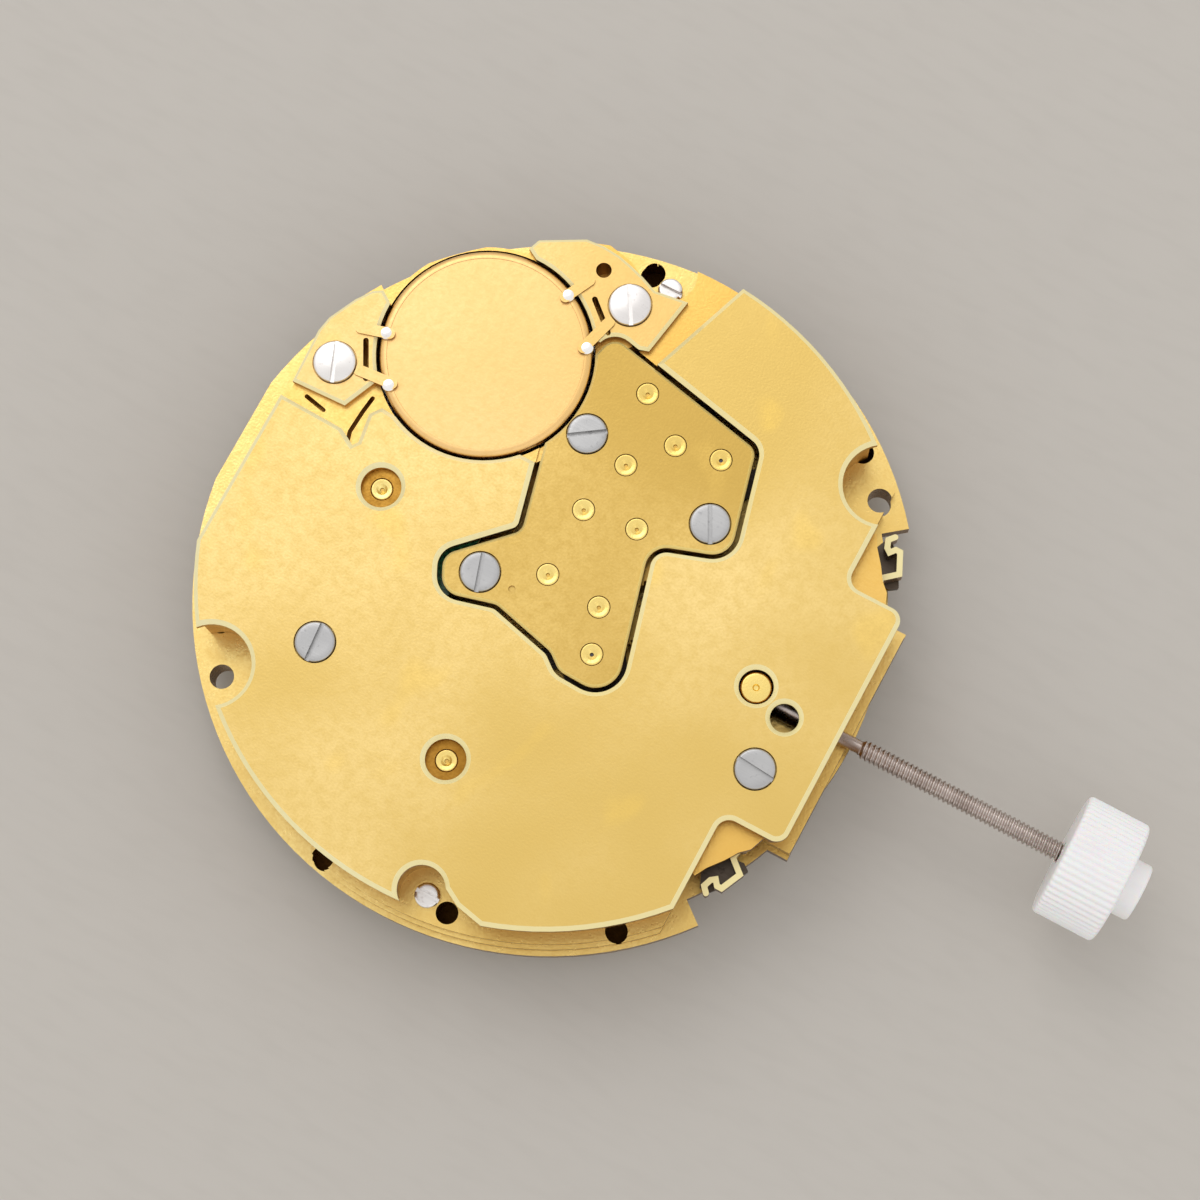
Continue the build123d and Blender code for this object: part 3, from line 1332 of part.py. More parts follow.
thread_end = crown_start + crown_bore_depth - face_gap
with BuildPart() as winding_stem:
    along(stem_start, square_start - stem_start, stem_pilot_radius)
    with Locations((square_start, 0, stem_axis)):
        Box(
            collar_start - square_start,
            stem_square,
            stem_square,
            align=(Align.MIN, Align.CENTER, Align.CENTER),
        )
    along(collar_start, groove_start - collar_start, stem_collar_radius)
    along(groove_start, groove_width, stem_groove_radius)
    bearing_start = groove_start + groove_width
    along(bearing_start, neck_start - bearing_start, stem_bearing_radius)
    along(neck_start, thread_start - neck_start, stem_neck_radius)
    thread_count = int((thread_end - thread_start) / thread_pitch)
    with BuildSketch(Plane.XZ):
        corners = [(thread_start, stem_axis)]
        for turn in range(thread_count):
            start = thread_start + turn * thread_pitch
            corners.append((start, stem_axis + thread_root_radius))
            corners.append((start + thread_pitch / 2, stem_axis + thread_radius))
        corners.append((thread_start + thread_count * thread_pitch, stem_axis + thread_root_radius))
        corners.append((thread_start + thread_count * thread_pitch, stem_axis))
        Polygon(*corners, align=None)
    revolve(axis=Axis((0, 0, stem_axis), (1, 0, 0)))
winding_stem.part.label = "winding_stem"

with BuildPart() as crown:
    along(crown_start, crown_length, crown_radius)
    chamfer(crown.edges().filter_by(GeomType.CIRCLE), crown_edge)
    with Locations(Location((crown_start, 0, stem_axis), (0, 90, 0))):
        with PolarLocations(crown_radius, crown_flutes):
            Box(
                2 * crown_flute_depth,
                2 * crown_flute_depth,
                crown_length,
                align=(Align.CENTER, Align.CENTER, Align.MIN),
                mode=Mode.SUBTRACT,
            )
    along(crown_start + crown_length, crown_boss_length, crown_boss_radius)
    chamfer(crown.faces().sort_by(Axis.X)[-1].edges(), crown_edge)
    along(crown_start, crown_bore_depth, thread_radius + face_gap, Mode.SUBTRACT)
crown.part.label = "crown"

setting_lever_width = 0.7
lever_pin_gap = 0.03
setting_pin_radius = 0.18
with BuildPart() as setting_lever:
    pin_spot = (groove_start + groove_width / 2, 0)
    slab(bar_outline([setting_lever_spot, pin_spot], setting_lever_width), setting_lever_foot,
         setting_lever_foot + lever_thickness)
    post(pin_spot, setting_pin_radius, stem_axis + stem_groove_radius + lever_pin_gap, setting_lever_foot)
    post(setting_lever_spot, lever_post_radius + running_clearance, setting_lever_foot,
         setting_lever_foot + lever_thickness, Mode.SUBTRACT)
setting_lever.part.label = "setting_lever"

with BuildPart() as yoke:
    fork_spot = (pinion_groove_start + pinion_groove_width / 2, 0)
    slab(bar_outline([yoke_spot, fork_spot], setting_lever_width), yoke_foot, yoke_foot + lever_thickness)
    post(fork_spot, setting_pin_radius, stem_axis + pinion_groove_radius + lever_pin_gap, yoke_foot)
    post(yoke_spot, lever_post_radius + running_clearance, yoke_foot, yoke_foot + lever_thickness,
         Mode.SUBTRACT)
yoke.part.label = "yoke"

button_foot = 3.85
button_top = 4.55
button_pin_radius = 0.3
button_pin_foot = 3.5
with BuildPart() as release_button:
    post(button_spot, button_radius, button_foot, button_top)
    post(button_spot, button_pin_radius, button_pin_foot, button_foot)
    post(button_spot, dimple_radius, button_top - dimple_depth, button_top, Mode.SUBTRACT)
release_button.part.label = "release_button"

# Levers and contact springs behind the two pusher notches
pusher_lever_corner = 0.08
pusher_lever_shares = [(0.748, 0.387), (0.8, 0.384), (0.806, 0.448), (0.858, 0.442), (0.881, 0.458),
                       (0.852, 0.513), (0.806, 0.568), (0.781, 0.561), (0.765, 0.523), (0.75, 0.465)]


def pusher_lever(side):
    """Adds the lever of one pusher; side is 1 for start and -1 for reset."""
    spot = pusher_post_spots[0 if side > 0 else 1]
    top = pusher_lever_foot + pusher_lever_thickness
    with BuildSketch(mode=Mode.PRIVATE) as face:
        Polygon(*[across(x, side * y) for x, y in pusher_lever_shares], align=None)
        fillet(face.vertices(), pusher_lever_corner)
    slab(face.sketch, pusher_lever_foot, top)
    post(spot, contact_post_radius + running_clearance, pusher_lever_foot, top, Mode.SUBTRACT)


def contact_spring(side):
    """Adds the bent contact blade of one pusher."""
    spot = contact_anchor_spots[0 if side > 0 else 1]
    path = [(spot[0] + cover_radius * x, spot[1] + side * cover_radius * y) for x, y in contact_shares]
    slab(bar_outline(path, contact_width), contact_foot, contact_foot + contact_height)
    post(spot, 2 * contact_post_radius, contact_foot, contact_foot + contact_height)
    post(spot, contact_post_radius + running_clearance, contact_foot, contact_foot + contact_height,
         Mode.SUBTRACT)


with BuildPart() as start_lever:
    pusher_lever(1)
start_lever.part.label = "start_lever"

with BuildPart() as reset_lever:
    pusher_lever(-1)
reset_lever.part.label = "reset_lever"

with BuildPart() as start_contact_spring:
    contact_spring(1)
start_contact_spring.part.label = "start_contact_spring"

with BuildPart() as reset_contact_spring:
    contact_spring(-1)
reset_contact_spring.part.label = "reset_contact_spring"

pieces = [
    main_plate,
    train_frame,
    module_cover,
    train_bridge,
    counter_bridge,
    pivot_bushings,
    module_cover_screws,
    train_bridge_screws,
    battery_clamp_screws,
    casing_screws,
    battery_clamp_left,
    battery_clamp_right,
    battery_can,
    battery_gasket,
    battery_cap,
    battery_cell,
    battery_insulator,
    negative_contact,
    circuit_board,
    ic_chip,
    quartz_crystal,
    coil_cores,
    coil_windings,
    stators,
    running_rotor,
    chronograph_rotor,
    counter_rotor,
    running_intermediate_wheel,
    small_seconds_wheel,
    third_wheel,
    transfer_wheel,
    minute_drive_wheel,
    centre_minute_wheel,
    chronograph_intermediate_wheel,
    centre_seconds_wheel,
    counter_intermediate_wheel,
    minute_counter_wheel,
    cannon_pinion,
    hour_wheel,
    minute_wheel,
    day_hour_idler,
    day_hour_wheel,
    date_finger,
    date_ring,
    date_jumper,
    date_ring_plate,
    date_plate_screws,
    setting_wheel,
    setting_pinion,
    winding_stem,
    crown,
    setting_lever,
    yoke,
    release_button,
    start_lever,
    reset_lever,
    start_contact_spring,
    reset_contact_spring,
]
os.makedirs("parts", exist_ok=True)
for piece in pieces:
    export_step(piece.part, "parts/" + piece.part.label + ".step")
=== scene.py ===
"""Looks of a quartz chronograph movement that lies dial side down, with its stem and crown to one side.

The pieces stand where the CAD frame says. Lengths in the classes are in millimetres.
"""

import logging
import math
from dataclasses import dataclass, field
from enum import IntEnum
from typing import Any, Callable, Mapping, Sequence

import bmesh
import bpy
from mathutils import Matrix, Vector


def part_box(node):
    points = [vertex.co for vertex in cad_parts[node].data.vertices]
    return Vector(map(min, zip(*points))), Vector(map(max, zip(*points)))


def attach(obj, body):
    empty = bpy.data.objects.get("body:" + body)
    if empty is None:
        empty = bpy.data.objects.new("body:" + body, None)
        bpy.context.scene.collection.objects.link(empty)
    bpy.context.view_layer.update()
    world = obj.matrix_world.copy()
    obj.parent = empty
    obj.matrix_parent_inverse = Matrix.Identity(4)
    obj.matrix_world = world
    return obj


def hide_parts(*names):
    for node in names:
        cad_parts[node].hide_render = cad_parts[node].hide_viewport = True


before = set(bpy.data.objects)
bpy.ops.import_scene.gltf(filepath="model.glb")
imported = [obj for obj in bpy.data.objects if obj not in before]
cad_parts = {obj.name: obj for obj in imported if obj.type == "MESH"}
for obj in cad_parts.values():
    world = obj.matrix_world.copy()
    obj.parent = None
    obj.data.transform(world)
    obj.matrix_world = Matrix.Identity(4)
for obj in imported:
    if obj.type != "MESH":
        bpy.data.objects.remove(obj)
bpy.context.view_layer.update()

MM = 0.001
PER_MM = 1.0 / MM
FULL_TURN = 2.0 * math.pi
ROOT_BODY = "movement"
MERGE_DISTANCE = 0.0002
CAD_MERGE_DISTANCE = 0.001
BOX_MARGIN = 0.001
ROUND_STEPS = 5
FINE_DETAIL = 3.0
COARSE_DETAIL = 1.0
MIDDLE = 0.5
log = logging.getLogger("movement")

Colour = tuple[float, float, float, float]
Point = tuple[float, float, float]
Flat = tuple[float, float]
Row = tuple[float, float, float, float]

BLACK: Colour = (0.0, 0.0, 0.0, 1.0)
WHITE: Colour = (1.0, 1.0, 1.0, 1.0)


def paint(red: int, green: int, blue: int) -> Colour:
    """Turns a screen colour, 0 to 255, into the linear colour that a shader takes, by the sRGB curve.

    Args:
        red: Red share, 0 to 255.
        green: Green share, 0 to 255.
        blue: Blue share, 0 to 255.

    Returns:
        The linear colour with full alpha.
    """
    shares = [value / 255.0 for value in (red, green, blue)]
    linear = [s / 12.92 if s <= 0.04045 else ((s + 0.055) / 1.055) ** 2.4 for s in shares]
    return (linear[0], linear[1], linear[2], 1.0)


def operator(operation: str, reflected: bool = False) -> Callable[["Signal", Any], "Signal"]:
    """Makes a method that adds one Math node for an arithmetic operator.

    Args:
        operation: Name of the node's operation.
        reflected: Whether the other value comes first.

    Returns:
        The method.
    """
    def combine(self: "Signal", other: Any) -> "Signal":
        """Joins the signal and the other value."""
        return self.math(operation, other, self) if reflected else self.math(operation, self, other)

    return combine


class Signal:
    """A node socket that carries a number, with arithmetic that adds Math nodes."""

    def __init__(self, sheet: "NodeSheet", socket: bpy.types.NodeSocket) -> None:
        """Keeps the sheet and the socket."""
        self.sheet = sheet
        self.socket = socket

    def math(self, operation: str, first: Any, second: Any = 0.0) -> "Signal":
        """Adds one Math node."""
        node = self.sheet.node("ShaderNodeMath", {"operation": operation}, {0: first, 1: second})
        return Signal(self.sheet, node.outputs[0])

    __add__, __radd__ = operator("ADD"), operator("ADD", True)
    __sub__, __rsub__ = operator("SUBTRACT"), operator("SUBTRACT", True)
    __mul__, __rmul__ = operator("MULTIPLY"), operator("MULTIPLY", True)
    __truediv__, __rtruediv__ = operator("DIVIDE"), operator("DIVIDE", True)
    __pow__ = operator("POWER")
    __mod__ = operator("MODULO")

    def apply(self, operation: str) -> "Signal":
        """Result of an operation that takes one value, such as FLOOR or COSINE."""
        return self.math(operation, self)

    def between(self, low: float, high: float) -> "Signal":
        """Eases from 0 at low to 1 at high.

        Args:
            low: Value that gives 0.
            high: Value that gives 1.

        Returns:
            The eased share.
        """
        settings = {"interpolation_type": "SMOOTHSTEP"}
        values = {"Value": self, "From Min": low, "From Max": high}
        return Signal(self.sheet, self.sheet.node("ShaderNodeMapRange", settings, values).outputs[0])


class NodeSheet:
    """A node tree with one method that adds any node."""

    def __init__(self, tree: bpy.types.NodeTree) -> None:
        """Keeps the tree."""
        self.tree = tree

    @staticmethod
    def find(sockets: Any, key: int | str) -> bpy.types.NodeSocket:
        """Finds a socket by number, identifier or shown name.

        Args:
            sockets: Inputs or outputs of a node.
            key: What to look for.

        Returns:
            The socket.
        """
        if isinstance(key, int):
            return sockets[key]
        same_identifier = [s for s in sockets if s.identifier == key and s.enabled]
        same_name = [s for s in sockets if s.name == key and s.enabled]
        return (same_identifier + same_name)[0]

    def node(self, kind: str, settings: Mapping[str, Any] | None = None,
             values: Mapping[int | str, Any] | None = None) -> bpy.types.Node:
        """Adds a node, sets it up and feeds its inputs.

        Args:
            kind: Blender's name of the node type.
            settings: Properties of the node, set first.
            values: Values, signals or sockets for its inputs.

        Returns:
            The new node.
        """
        made = self.tree.nodes.new(kind)
        for name, setting in (settings or {}).items():
            setattr(made, name, setting)
        for key, value in (values or {}).items():
            socket = self.find(made.inputs, key)
            source = value.socket if isinstance(value, Signal) else value
            if isinstance(source, bpy.types.NodeSocket):
                self.tree.links.new(source, socket)
            else:
                socket.default_value = source
        return made

    def signal(self, node: bpy.types.Node, output: int | str = 0) -> Signal:
        """Wraps one output of a node."""
        return Signal(self, self.find(node.outputs, output))


class ShaderSheet(NodeSheet):
    """The node tree of a material."""

    def place(self, scale: Point = (1.0, 1.0, 1.0), turn: Point = (0.0, 0.0, 0.0)) -> bpy.types.NodeSocket:
        """Gives object coordinates in millimetres.

        Args:
            scale: Stretch of a pattern along each axis.
            turn: Turn of the pattern about each axis, in radians.

        Returns:
            The vector socket.
        """
        coordinates = self.node("ShaderNodeTexCoord")
        size = tuple(PER_MM * share for share in scale)
        values = {"Vector": coordinates.outputs["Object"], "Rotation": turn, "Scale": size}
        return self.node("ShaderNodeMapping", None, values).outputs["Vector"]

    def noise(self, place: bpy.types.NodeSocket, per_mm: float, detail: float = 2.0) -> Signal:
        """Adds a soft noise."""
        values = {"Vector": place, "Scale": per_mm, "Detail": detail}
        return self.signal(self.node("ShaderNodeTexNoise", None, values))

    def blend(self, share: Any, first: Any, second: Any) -> bpy.types.NodeSocket:
        """Mixes two colours.

        Args:
            share: 0 for the first colour, 1 for the second.
            first: Colour or colour socket.
            second: Colour or colour socket.

        Returns:
            The mixed colour.
        """
        values = {"Factor_Float": share, "A_Color": first, "B_Color": second}
        mixed = self.node("ShaderNodeMix", {"data_type": "RGBA"}, values)
        return self.find(mixed.outputs, "Result_Color")

    def bump(self, height: Signal, depth: float, strength: float = 1.0) -> bpy.types.NodeSocket:
        """Turns a height into a disturbed normal."""
        values = {"Strength": strength, "Distance": depth * MM, "Height": height}
        return self.node("ShaderNodeBump", None, values).outputs["Normal"]

    def surface(self, values: Mapping[str, Any]) -> None:
        """Ends the tree in one Principled shader with these inputs."""
        shader = self.node("ShaderNodeBsdfPrincipled", None, values)
        self.node("ShaderNodeOutputMaterial", None, {"Surface": shader.outputs["BSDF"]})


@dataclass(frozen=True)
class Finish:
    """What every finish has: a name and a way to draw itself."""

    name: str

    def draw(self, sheet: ShaderSheet) -> None:
        """Fills the material's node tree."""
        raise NotImplementedError(self.name)

    def material(self) -> bpy.types.Material:
        """Builds the material once and hands out the same one after that.

        Returns:
            The material.
        """
        found = bpy.data.materials.get(self.name)
        if found is None:
            found = bpy.data.materials.new(self.name)
            found.use_nodes = True
            found.node_tree.nodes.clear()
            self.draw(ShaderSheet(found.node_tree))
        return found


@dataclass(frozen=True)
class Gilding(Finish):
    """Plated metal with a fine blasted grain, slow changes of tone and a few warm smudges."""

    colour: Colour
    deep: Colour
    smudge: Colour
    roughness: float = 0.42
    grain_per_mm: float = 9.0
    grain_depth: float = 0.012
    smudge_low: float = 0.62
    metallic: float = 1.0
    tone_per_mm: float = 0.09
    mottle_per_mm: float = 2.3
    smudge_per_mm: float = 0.35
    smudge_stretch: Point = (1.0, 0.7, 1.0)
    smudge_turn: Point = (0.0, 0.0, 0.6)
    smudge_fade: float = 0.1
    tone_range: Flat = (0.3, 0.7)
    mottle_range: Flat = (0.35, 0.7)
    grain_range: Flat = (0.35, 0.75)
    share: float = 0.35
    grain_gloss: float = 0.12
    mottle_gloss: float = 0.1
    bump_strength: float = 0.6

    def draw(self, sheet: ShaderSheet) -> None:
        """Draws tone, smudges and grain.

        Args:
            sheet: The material's node tree.
        """
        place = sheet.place()
        tone = sheet.noise(place, self.tone_per_mm)
        grain = sheet.noise(place, self.grain_per_mm, FINE_DETAIL)
        mottle = sheet.noise(place, self.mottle_per_mm, FINE_DETAIL)
        stain = sheet.noise(sheet.place(self.smudge_stretch, self.smudge_turn), self.smudge_per_mm, COARSE_DETAIL)
        plated = sheet.blend(tone.between(*self.tone_range), self.colour, self.deep)
        smudged = self.share * stain.between(self.smudge_low, self.smudge_low + self.smudge_fade)
        stained = sheet.blend(smudged, plated, self.smudge)
        darker = (self.share * mottle.between(*self.mottle_range)
                  + self.share * grain.between(*self.grain_range))
        colour = sheet.blend(darker, stained, self.deep)
        roughness = self.roughness + self.grain_gloss * (grain - MIDDLE) + self.mottle_gloss * (mottle - MIDDLE)
        sheet.surface({"Base Color": colour, "Metallic": self.metallic, "Roughness": roughness,
                       "Normal": sheet.bump(grain, self.grain_depth, self.bump_strength)})


@dataclass(frozen=True)
class Turned(Finish):
    """Bare metal with straight tool marks and a few darker specks."""

    colour: Colour
    shade: Colour
    roughness: float = 0.3
    marks: Point = (0.6, 14.0, 14.0)
    marks_turn: Point = (0.0, 0.0, 0.4)
    marks_depth: float = 0.004
    specks_per_mm: float = 5.0
    tone_per_mm: float = 0.6
    speck_range: Flat = (0.6, 0.75)
    tone_range: Flat = (0.4, 0.7)
    speck_share: float = 0.4
    mark_share: float = 0.35
    tone_share: float = 0.3
    mark_gloss: float = 0.14
    speck_gloss: float = 0.1
    bump_strength: float = 0.5

    def draw(self, sheet: ShaderSheet) -> None:
        """Draws tool marks, specks and tone.

        Args:
            sheet: The material's node tree.
        """
        marks = sheet.noise(sheet.place(self.marks, self.marks_turn), 1.0, FINE_DETAIL)
        specks = sheet.noise(sheet.place(), self.specks_per_mm).between(*self.speck_range)
        tone = sheet.noise(sheet.place(), self.tone_per_mm, COARSE_DETAIL)
        worn = sheet.blend(self.speck_share * specks + self.mark_share * marks, self.colour, self.shade)
        colour = sheet.blend(self.tone_share * tone.between(*self.tone_range), worn, self.shade)
        roughness = self.roughness + self.mark_gloss * (marks - MIDDLE) + self.speck_gloss * specks
        sheet.surface({"Base Color": colour, "Metallic": 1.0, "Roughness": roughness,
                       "Normal": sheet.bump(marks, self.marks_depth, self.bump_strength)})


@dataclass(frozen=True)
class Moulded(Finish):
    """Moulded plastic with flow lines and a fine texture."""

    colour: Colour
    shade: Colour
    roughness: float = 0.45
    texture_per_mm: float = 6.0
    texture_depth: float = 0.006
    scatter: float = 0.0
    clear: float = 0.0
    flow_stretch: Point = (0.5, 2.0, 2.0)
    flow_per_mm: float = 0.8
    flow_range: Flat = (0.4, 0.75)
    flow_share: float = 0.5
    texture_share: float = 0.15
    texture_gloss: float = 0.12
    flow_gloss: float = 0.08
    scatter_depth: float = 0.4
    bump_strength: float = 0.5

    def draw(self, sheet: ShaderSheet) -> None:
        """Draws flow lines and texture.

        Args:
            sheet: The material's node tree.
        """
        texture = sheet.noise(sheet.place(), self.texture_per_mm, FINE_DETAIL)
        flow = sheet.noise(sheet.place(self.flow_stretch), self.flow_per_mm)
        share = self.flow_share * flow.between(*self.flow_range) + self.texture_share * texture
        colour = sheet.blend(share, self.colour, self.shade)
        roughness = self.roughness + self.texture_gloss * (texture - MIDDLE) + self.flow_gloss * (flow - MIDDLE)
        sheet.surface({"Base Color": colour, "Metallic": 0.0, "Roughness": roughness,
                       "Transmission Weight": self.clear, "Subsurface Weight": self.scatter,
                       "Subsurface Scale": self.scatter_depth * MM,
                       "Normal": sheet.bump(texture, self.texture_depth, self.bump_strength)})


@dataclass(frozen=True)
class Lacquered(Finish):
    """Circuit board with tracks under green lacquer."""

    lacquer: Colour
    track: Colour
    tracks_per_mm: float = 0.9
    track_width: float = 0.05
    track_blur: float = 0.2
    track_shift: float = 0.37
    weave_stretch: Point = (4.0, 4.0, 1.0)
    weave_per_mm: float = 2.0
    track_share: float = 0.8
    weave_share: float = 0.4
    roughness: float = 0.32
    weave_gloss: float = 0.15
    coat: float = 0.4
    weave_height: float = 0.2
    relief: float = 0.03
    bump_strength: float = 0.6

    def draw(self, sheet: ShaderSheet) -> None:
        """Draws the tracks as the seams of a brick pattern.

        Args:
            sheet: The material's node tree.
        """
        values = {"Vector": sheet.place(), "Scale": self.tracks_per_mm, "Mortar Size": self.track_width,
                  "Mortar Smooth": self.track_blur, "Color1": BLACK, "Color2": BLACK, "Mortar": WHITE}
        lines = sheet.signal(sheet.node("ShaderNodeTexBrick", {"offset": self.track_shift}, values), "Fac")
        weave = sheet.noise(sheet.place(self.weave_stretch), self.weave_per_mm)
        ground = sheet.blend(weave * self.weave_share, self.lacquer, self.track)
        sheet.surface({"Base Color": sheet.blend(lines * self.track_share, ground, self.track), "Metallic": 0.0,
                       "Roughness": self.roughness + self.weave_gloss * weave, "Coat Weight": self.coat,
                       "Normal": sheet.bump(lines + weave * self.weave_height, self.relief, self.bump_strength)})


GILT_COVER = Gilding("cover gilding", paint(236, 207, 138), paint(214, 182, 104), paint(240, 202, 100))
GILT_BRIDGE = Gilding("bridge gilding", paint(224, 192, 116), paint(198, 164, 86), paint(228, 192, 104), 0.45)
GILT_CLAMP = Gilding("clamp gilding", paint(238, 203, 140), paint(224, 186, 114), paint(240, 200, 106), 0.4)
# Partly painted light: the plate's own gilt, made paler than the cover's so that pocket floors lying in shade
# still come out pale.
GILT_PLATE = Gilding("plate gilding", paint(246, 218, 142), paint(224, 186, 104), paint(240, 200, 110), 0.3)
GILT_FRAME = Gilding("frame gilding", paint(244, 208, 126), paint(226, 180, 92), paint(240, 196, 96), 0.34)
# Painted shade: the wall finishes are darker and more orange than the faces, for walls and steps that the light
# from above leaves in shade.
GILT_WALL_SHADE = Gilding("wall gilding painted shade", paint(198, 148, 64), paint(140, 94, 30), paint(180, 126, 44), 0.36)
PLATE_WALL_SHADE = Gilding("rim wall painted shade", paint(186, 142, 66), paint(112, 76, 24), paint(166, 120, 46), 0.28)
# Painted shade: dark brown for the floors of blind holes and low pockets, where shade falls.
HOLE_SHADE = Gilding("hole floor", paint(84, 58, 26), paint(52, 34, 12), paint(70, 46, 16), 0.6)
# Painted highlight: the bevel finishes are far paler and barely metallic, so bevels look bright from every side;
# their lower roughness is real polish.
GILT_EDGE_HIGHLIGHT = Gilding("gilt edge painted highlight", paint(255, 245, 192), paint(255, 238, 172), paint(255, 238, 170),
                    0.2, 5.0, 0.004, 0.7, 0.1)
SOFT_EDGE_HIGHLIGHT = Gilding("bridge edge painted highlight", paint(252, 232, 158), paint(244, 218, 136), paint(246, 222, 140), 0.3, 5.0,
                    0.004, 0.7, 0.3)
BUSHING_BRASS = Gilding("bushing brass", paint(250, 228, 148), paint(236, 204, 116), paint(246, 214, 120), 0.28)
BATTERY_FACE = Gilding("battery face", paint(240, 199, 136), paint(230, 188, 120), paint(240, 198, 116), 0.38,
                       7.0, 0.008)
BATTERY_STEEL = Turned("battery steel", paint(214, 196, 182), paint(168, 140, 122), 0.26)
SCREW_STEEL = Turned("screw steel", paint(186, 185, 184), paint(150, 149, 150), 0.36)
# Pale steel of the clamp screws; on the levers' bevels it is a painted highlight.
PALE_STEEL_AND_HIGHLIGHT = Turned("pale screw steel and bevel highlight", paint(236, 232, 228), paint(198, 192, 190), 0.3)
STEM_STEEL = Turned("stem steel", paint(206, 196, 190), paint(140, 122, 112), 0.28, (3.0, 3.0, 3.0))
LEVER_STEEL = Turned("lever steel", paint(98, 88, 78), paint(60, 50, 42), 0.38)
# Silver of the coil cores and crystal; on the battery's contact tips it is a painted highlight.
SILVER_AND_TIP_HIGHLIGHT = Turned("silver and tip highlight", paint(244, 242, 240), paint(214, 206, 200), 0.22)
WHEEL_BRASS = Turned("wheel brass", paint(222, 182, 98), paint(184, 140, 62), 0.3, (9.0, 9.0, 2.0))
MAGNET_GREY = Turned("magnet grey", paint(96, 94, 98), paint(58, 56, 60), 0.5, (4.0, 4.0, 4.0))
CROWN_WHITE = Moulded("crown white", paint(250, 248, 247), paint(243, 240, 241), 0.42, 5.0, 0.006, 0.25)
RING_WHITE = Moulded("date ring white", paint(240, 239, 234), paint(230, 228, 222), 0.5)
PRINT_BLACK = Moulded("number print", paint(28, 27, 28), paint(44, 42, 42), 0.6)
DARK_PLASTIC = Moulded("dark plastic", paint(42, 40, 40), paint(60, 57, 55), 0.5)
CLEAR_FILM = Moulded("clear film", paint(236, 238, 240), paint(220, 224, 228), 0.2, 6.0, 0.002, 0.0, 0.8)
CELL_BLACK = Moulded("cell powder", paint(34, 33, 35), paint(58, 56, 58), 0.85, 9.0, 0.03)
COPPER_WIRE = Turned("copper wire", paint(206, 116, 70), paint(150, 74, 42), 0.3, (8.0, 8.0, 8.0))
BOARD_GREEN = Lacquered("board lacquer", paint(24, 92, 58), paint(62, 148, 92))
FLOOR_GREY = Moulded("floor", paint(198, 192, 184), paint(194, 188, 180), 0.7, 0.3, 0.0)


def add_piece(name: str, data: bpy.types.ID) -> bpy.types.Object:
    """Links a new object at the origin.

    Args:
        name: The object's name.
        data: Its mesh, curve, lamp or camera.

    Returns:
        The object.
    """
    piece = bpy.data.objects.new(name, data)
    bpy.context.scene.collection.objects.link(piece)
    return piece


def close_mesh(name: str, shape: bmesh.types.BMesh, *finishes: Finish) -> bpy.types.Mesh:
    """Makes a mesh of a shape that is open for changes.

    Args:
        name: Name of the mesh.
        shape: The shape, which is freed.
        finishes: What its material slots hold.

    Returns:
        The mesh.
    """
    mesh = bpy.data.meshes.new(name)
    shape.to_mesh(mesh)
    shape.free()
    for finish in finishes:
        mesh.materials.append(finish.material())
    return mesh


def freeze(piece: bpy.types.Object) -> bpy.types.Object:
    """Makes a piece's modifiers part of its mesh.

    Args:
        piece: The object.

    Returns:
        The same object without modifiers.
    """
    bpy.context.view_layer.update()
    graph = bpy.context.evaluated_depsgraph_get()
    mesh = bpy.data.meshes.new_from_object(piece.evaluated_get(graph), preserve_all_data_layers=True,
                                           depsgraph=graph)
    piece.modifiers.clear()
    piece.data = mesh
    return piece


def shade(piece: bpy.types.Object, sharp_angle: float = 38.0) -> bpy.types.Object:
    """Shades a piece smooth up to an angle, with large faces kept flat.

    Args:
        piece: The object.
        sharp_angle: Edges sharper than this many degrees stay sharp.

    Returns:
        The same object.
    """
    piece.data.polygons.foreach_set("use_smooth", [True] * len(piece.data.polygons))
    piece.data.set_sharp_from_angle(angle=math.radians(sharp_angle))
    even = piece.modifiers.new("even shading", "WEIGHTED_NORMAL")
    even.keep_sharp = True
    return freeze(piece)


def settle(piece: bpy.types.Object, body: str, slot: str, *nodes: str) -> bpy.types.Object:
    """Ties a finished piece to its body and hides the nodes that it stands for.

    Args:
        piece: The finished object.
        body: CAD body that it rides on.
        slot: Material slot of the record; not used.
        nodes: CAD nodes that it replaces.

    Returns:
        The same object.
    """
    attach(piece, body)
    if nodes:
        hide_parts(*nodes)
    log.info("%s: %d faces, rides on %s", piece.name, len(piece.data.polygons), body)
    return piece


def dress(nodes: Sequence[str], finish: Finish) -> None:
    """Gives CAD nodes that keep their shape a finish.

    Args:
        nodes: Names of the nodes.
        finish: The finish.
    """
    for name in nodes:
        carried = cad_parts[name]
        if not carried.material_slots:
            carried.data.materials.append(finish.material())
        for place in carried.material_slots:
            place.material = finish.material()
        log.info("%s keeps its shape, in %s", name, finish.name)


def merged_copy(node: str) -> bmesh.types.BMesh:
    """Copies a CAD node's mesh with its doubles merged.

    Args:
        node: Name of the node.

    Returns:
        The copied mesh, open for changes.
    """
    shape = bmesh.new()
    shape.from_mesh(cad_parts[node].data)
    bmesh.ops.remove_doubles(shape, verts=shape.verts, dist=CAD_MERGE_DISTANCE * MM)
    return shape


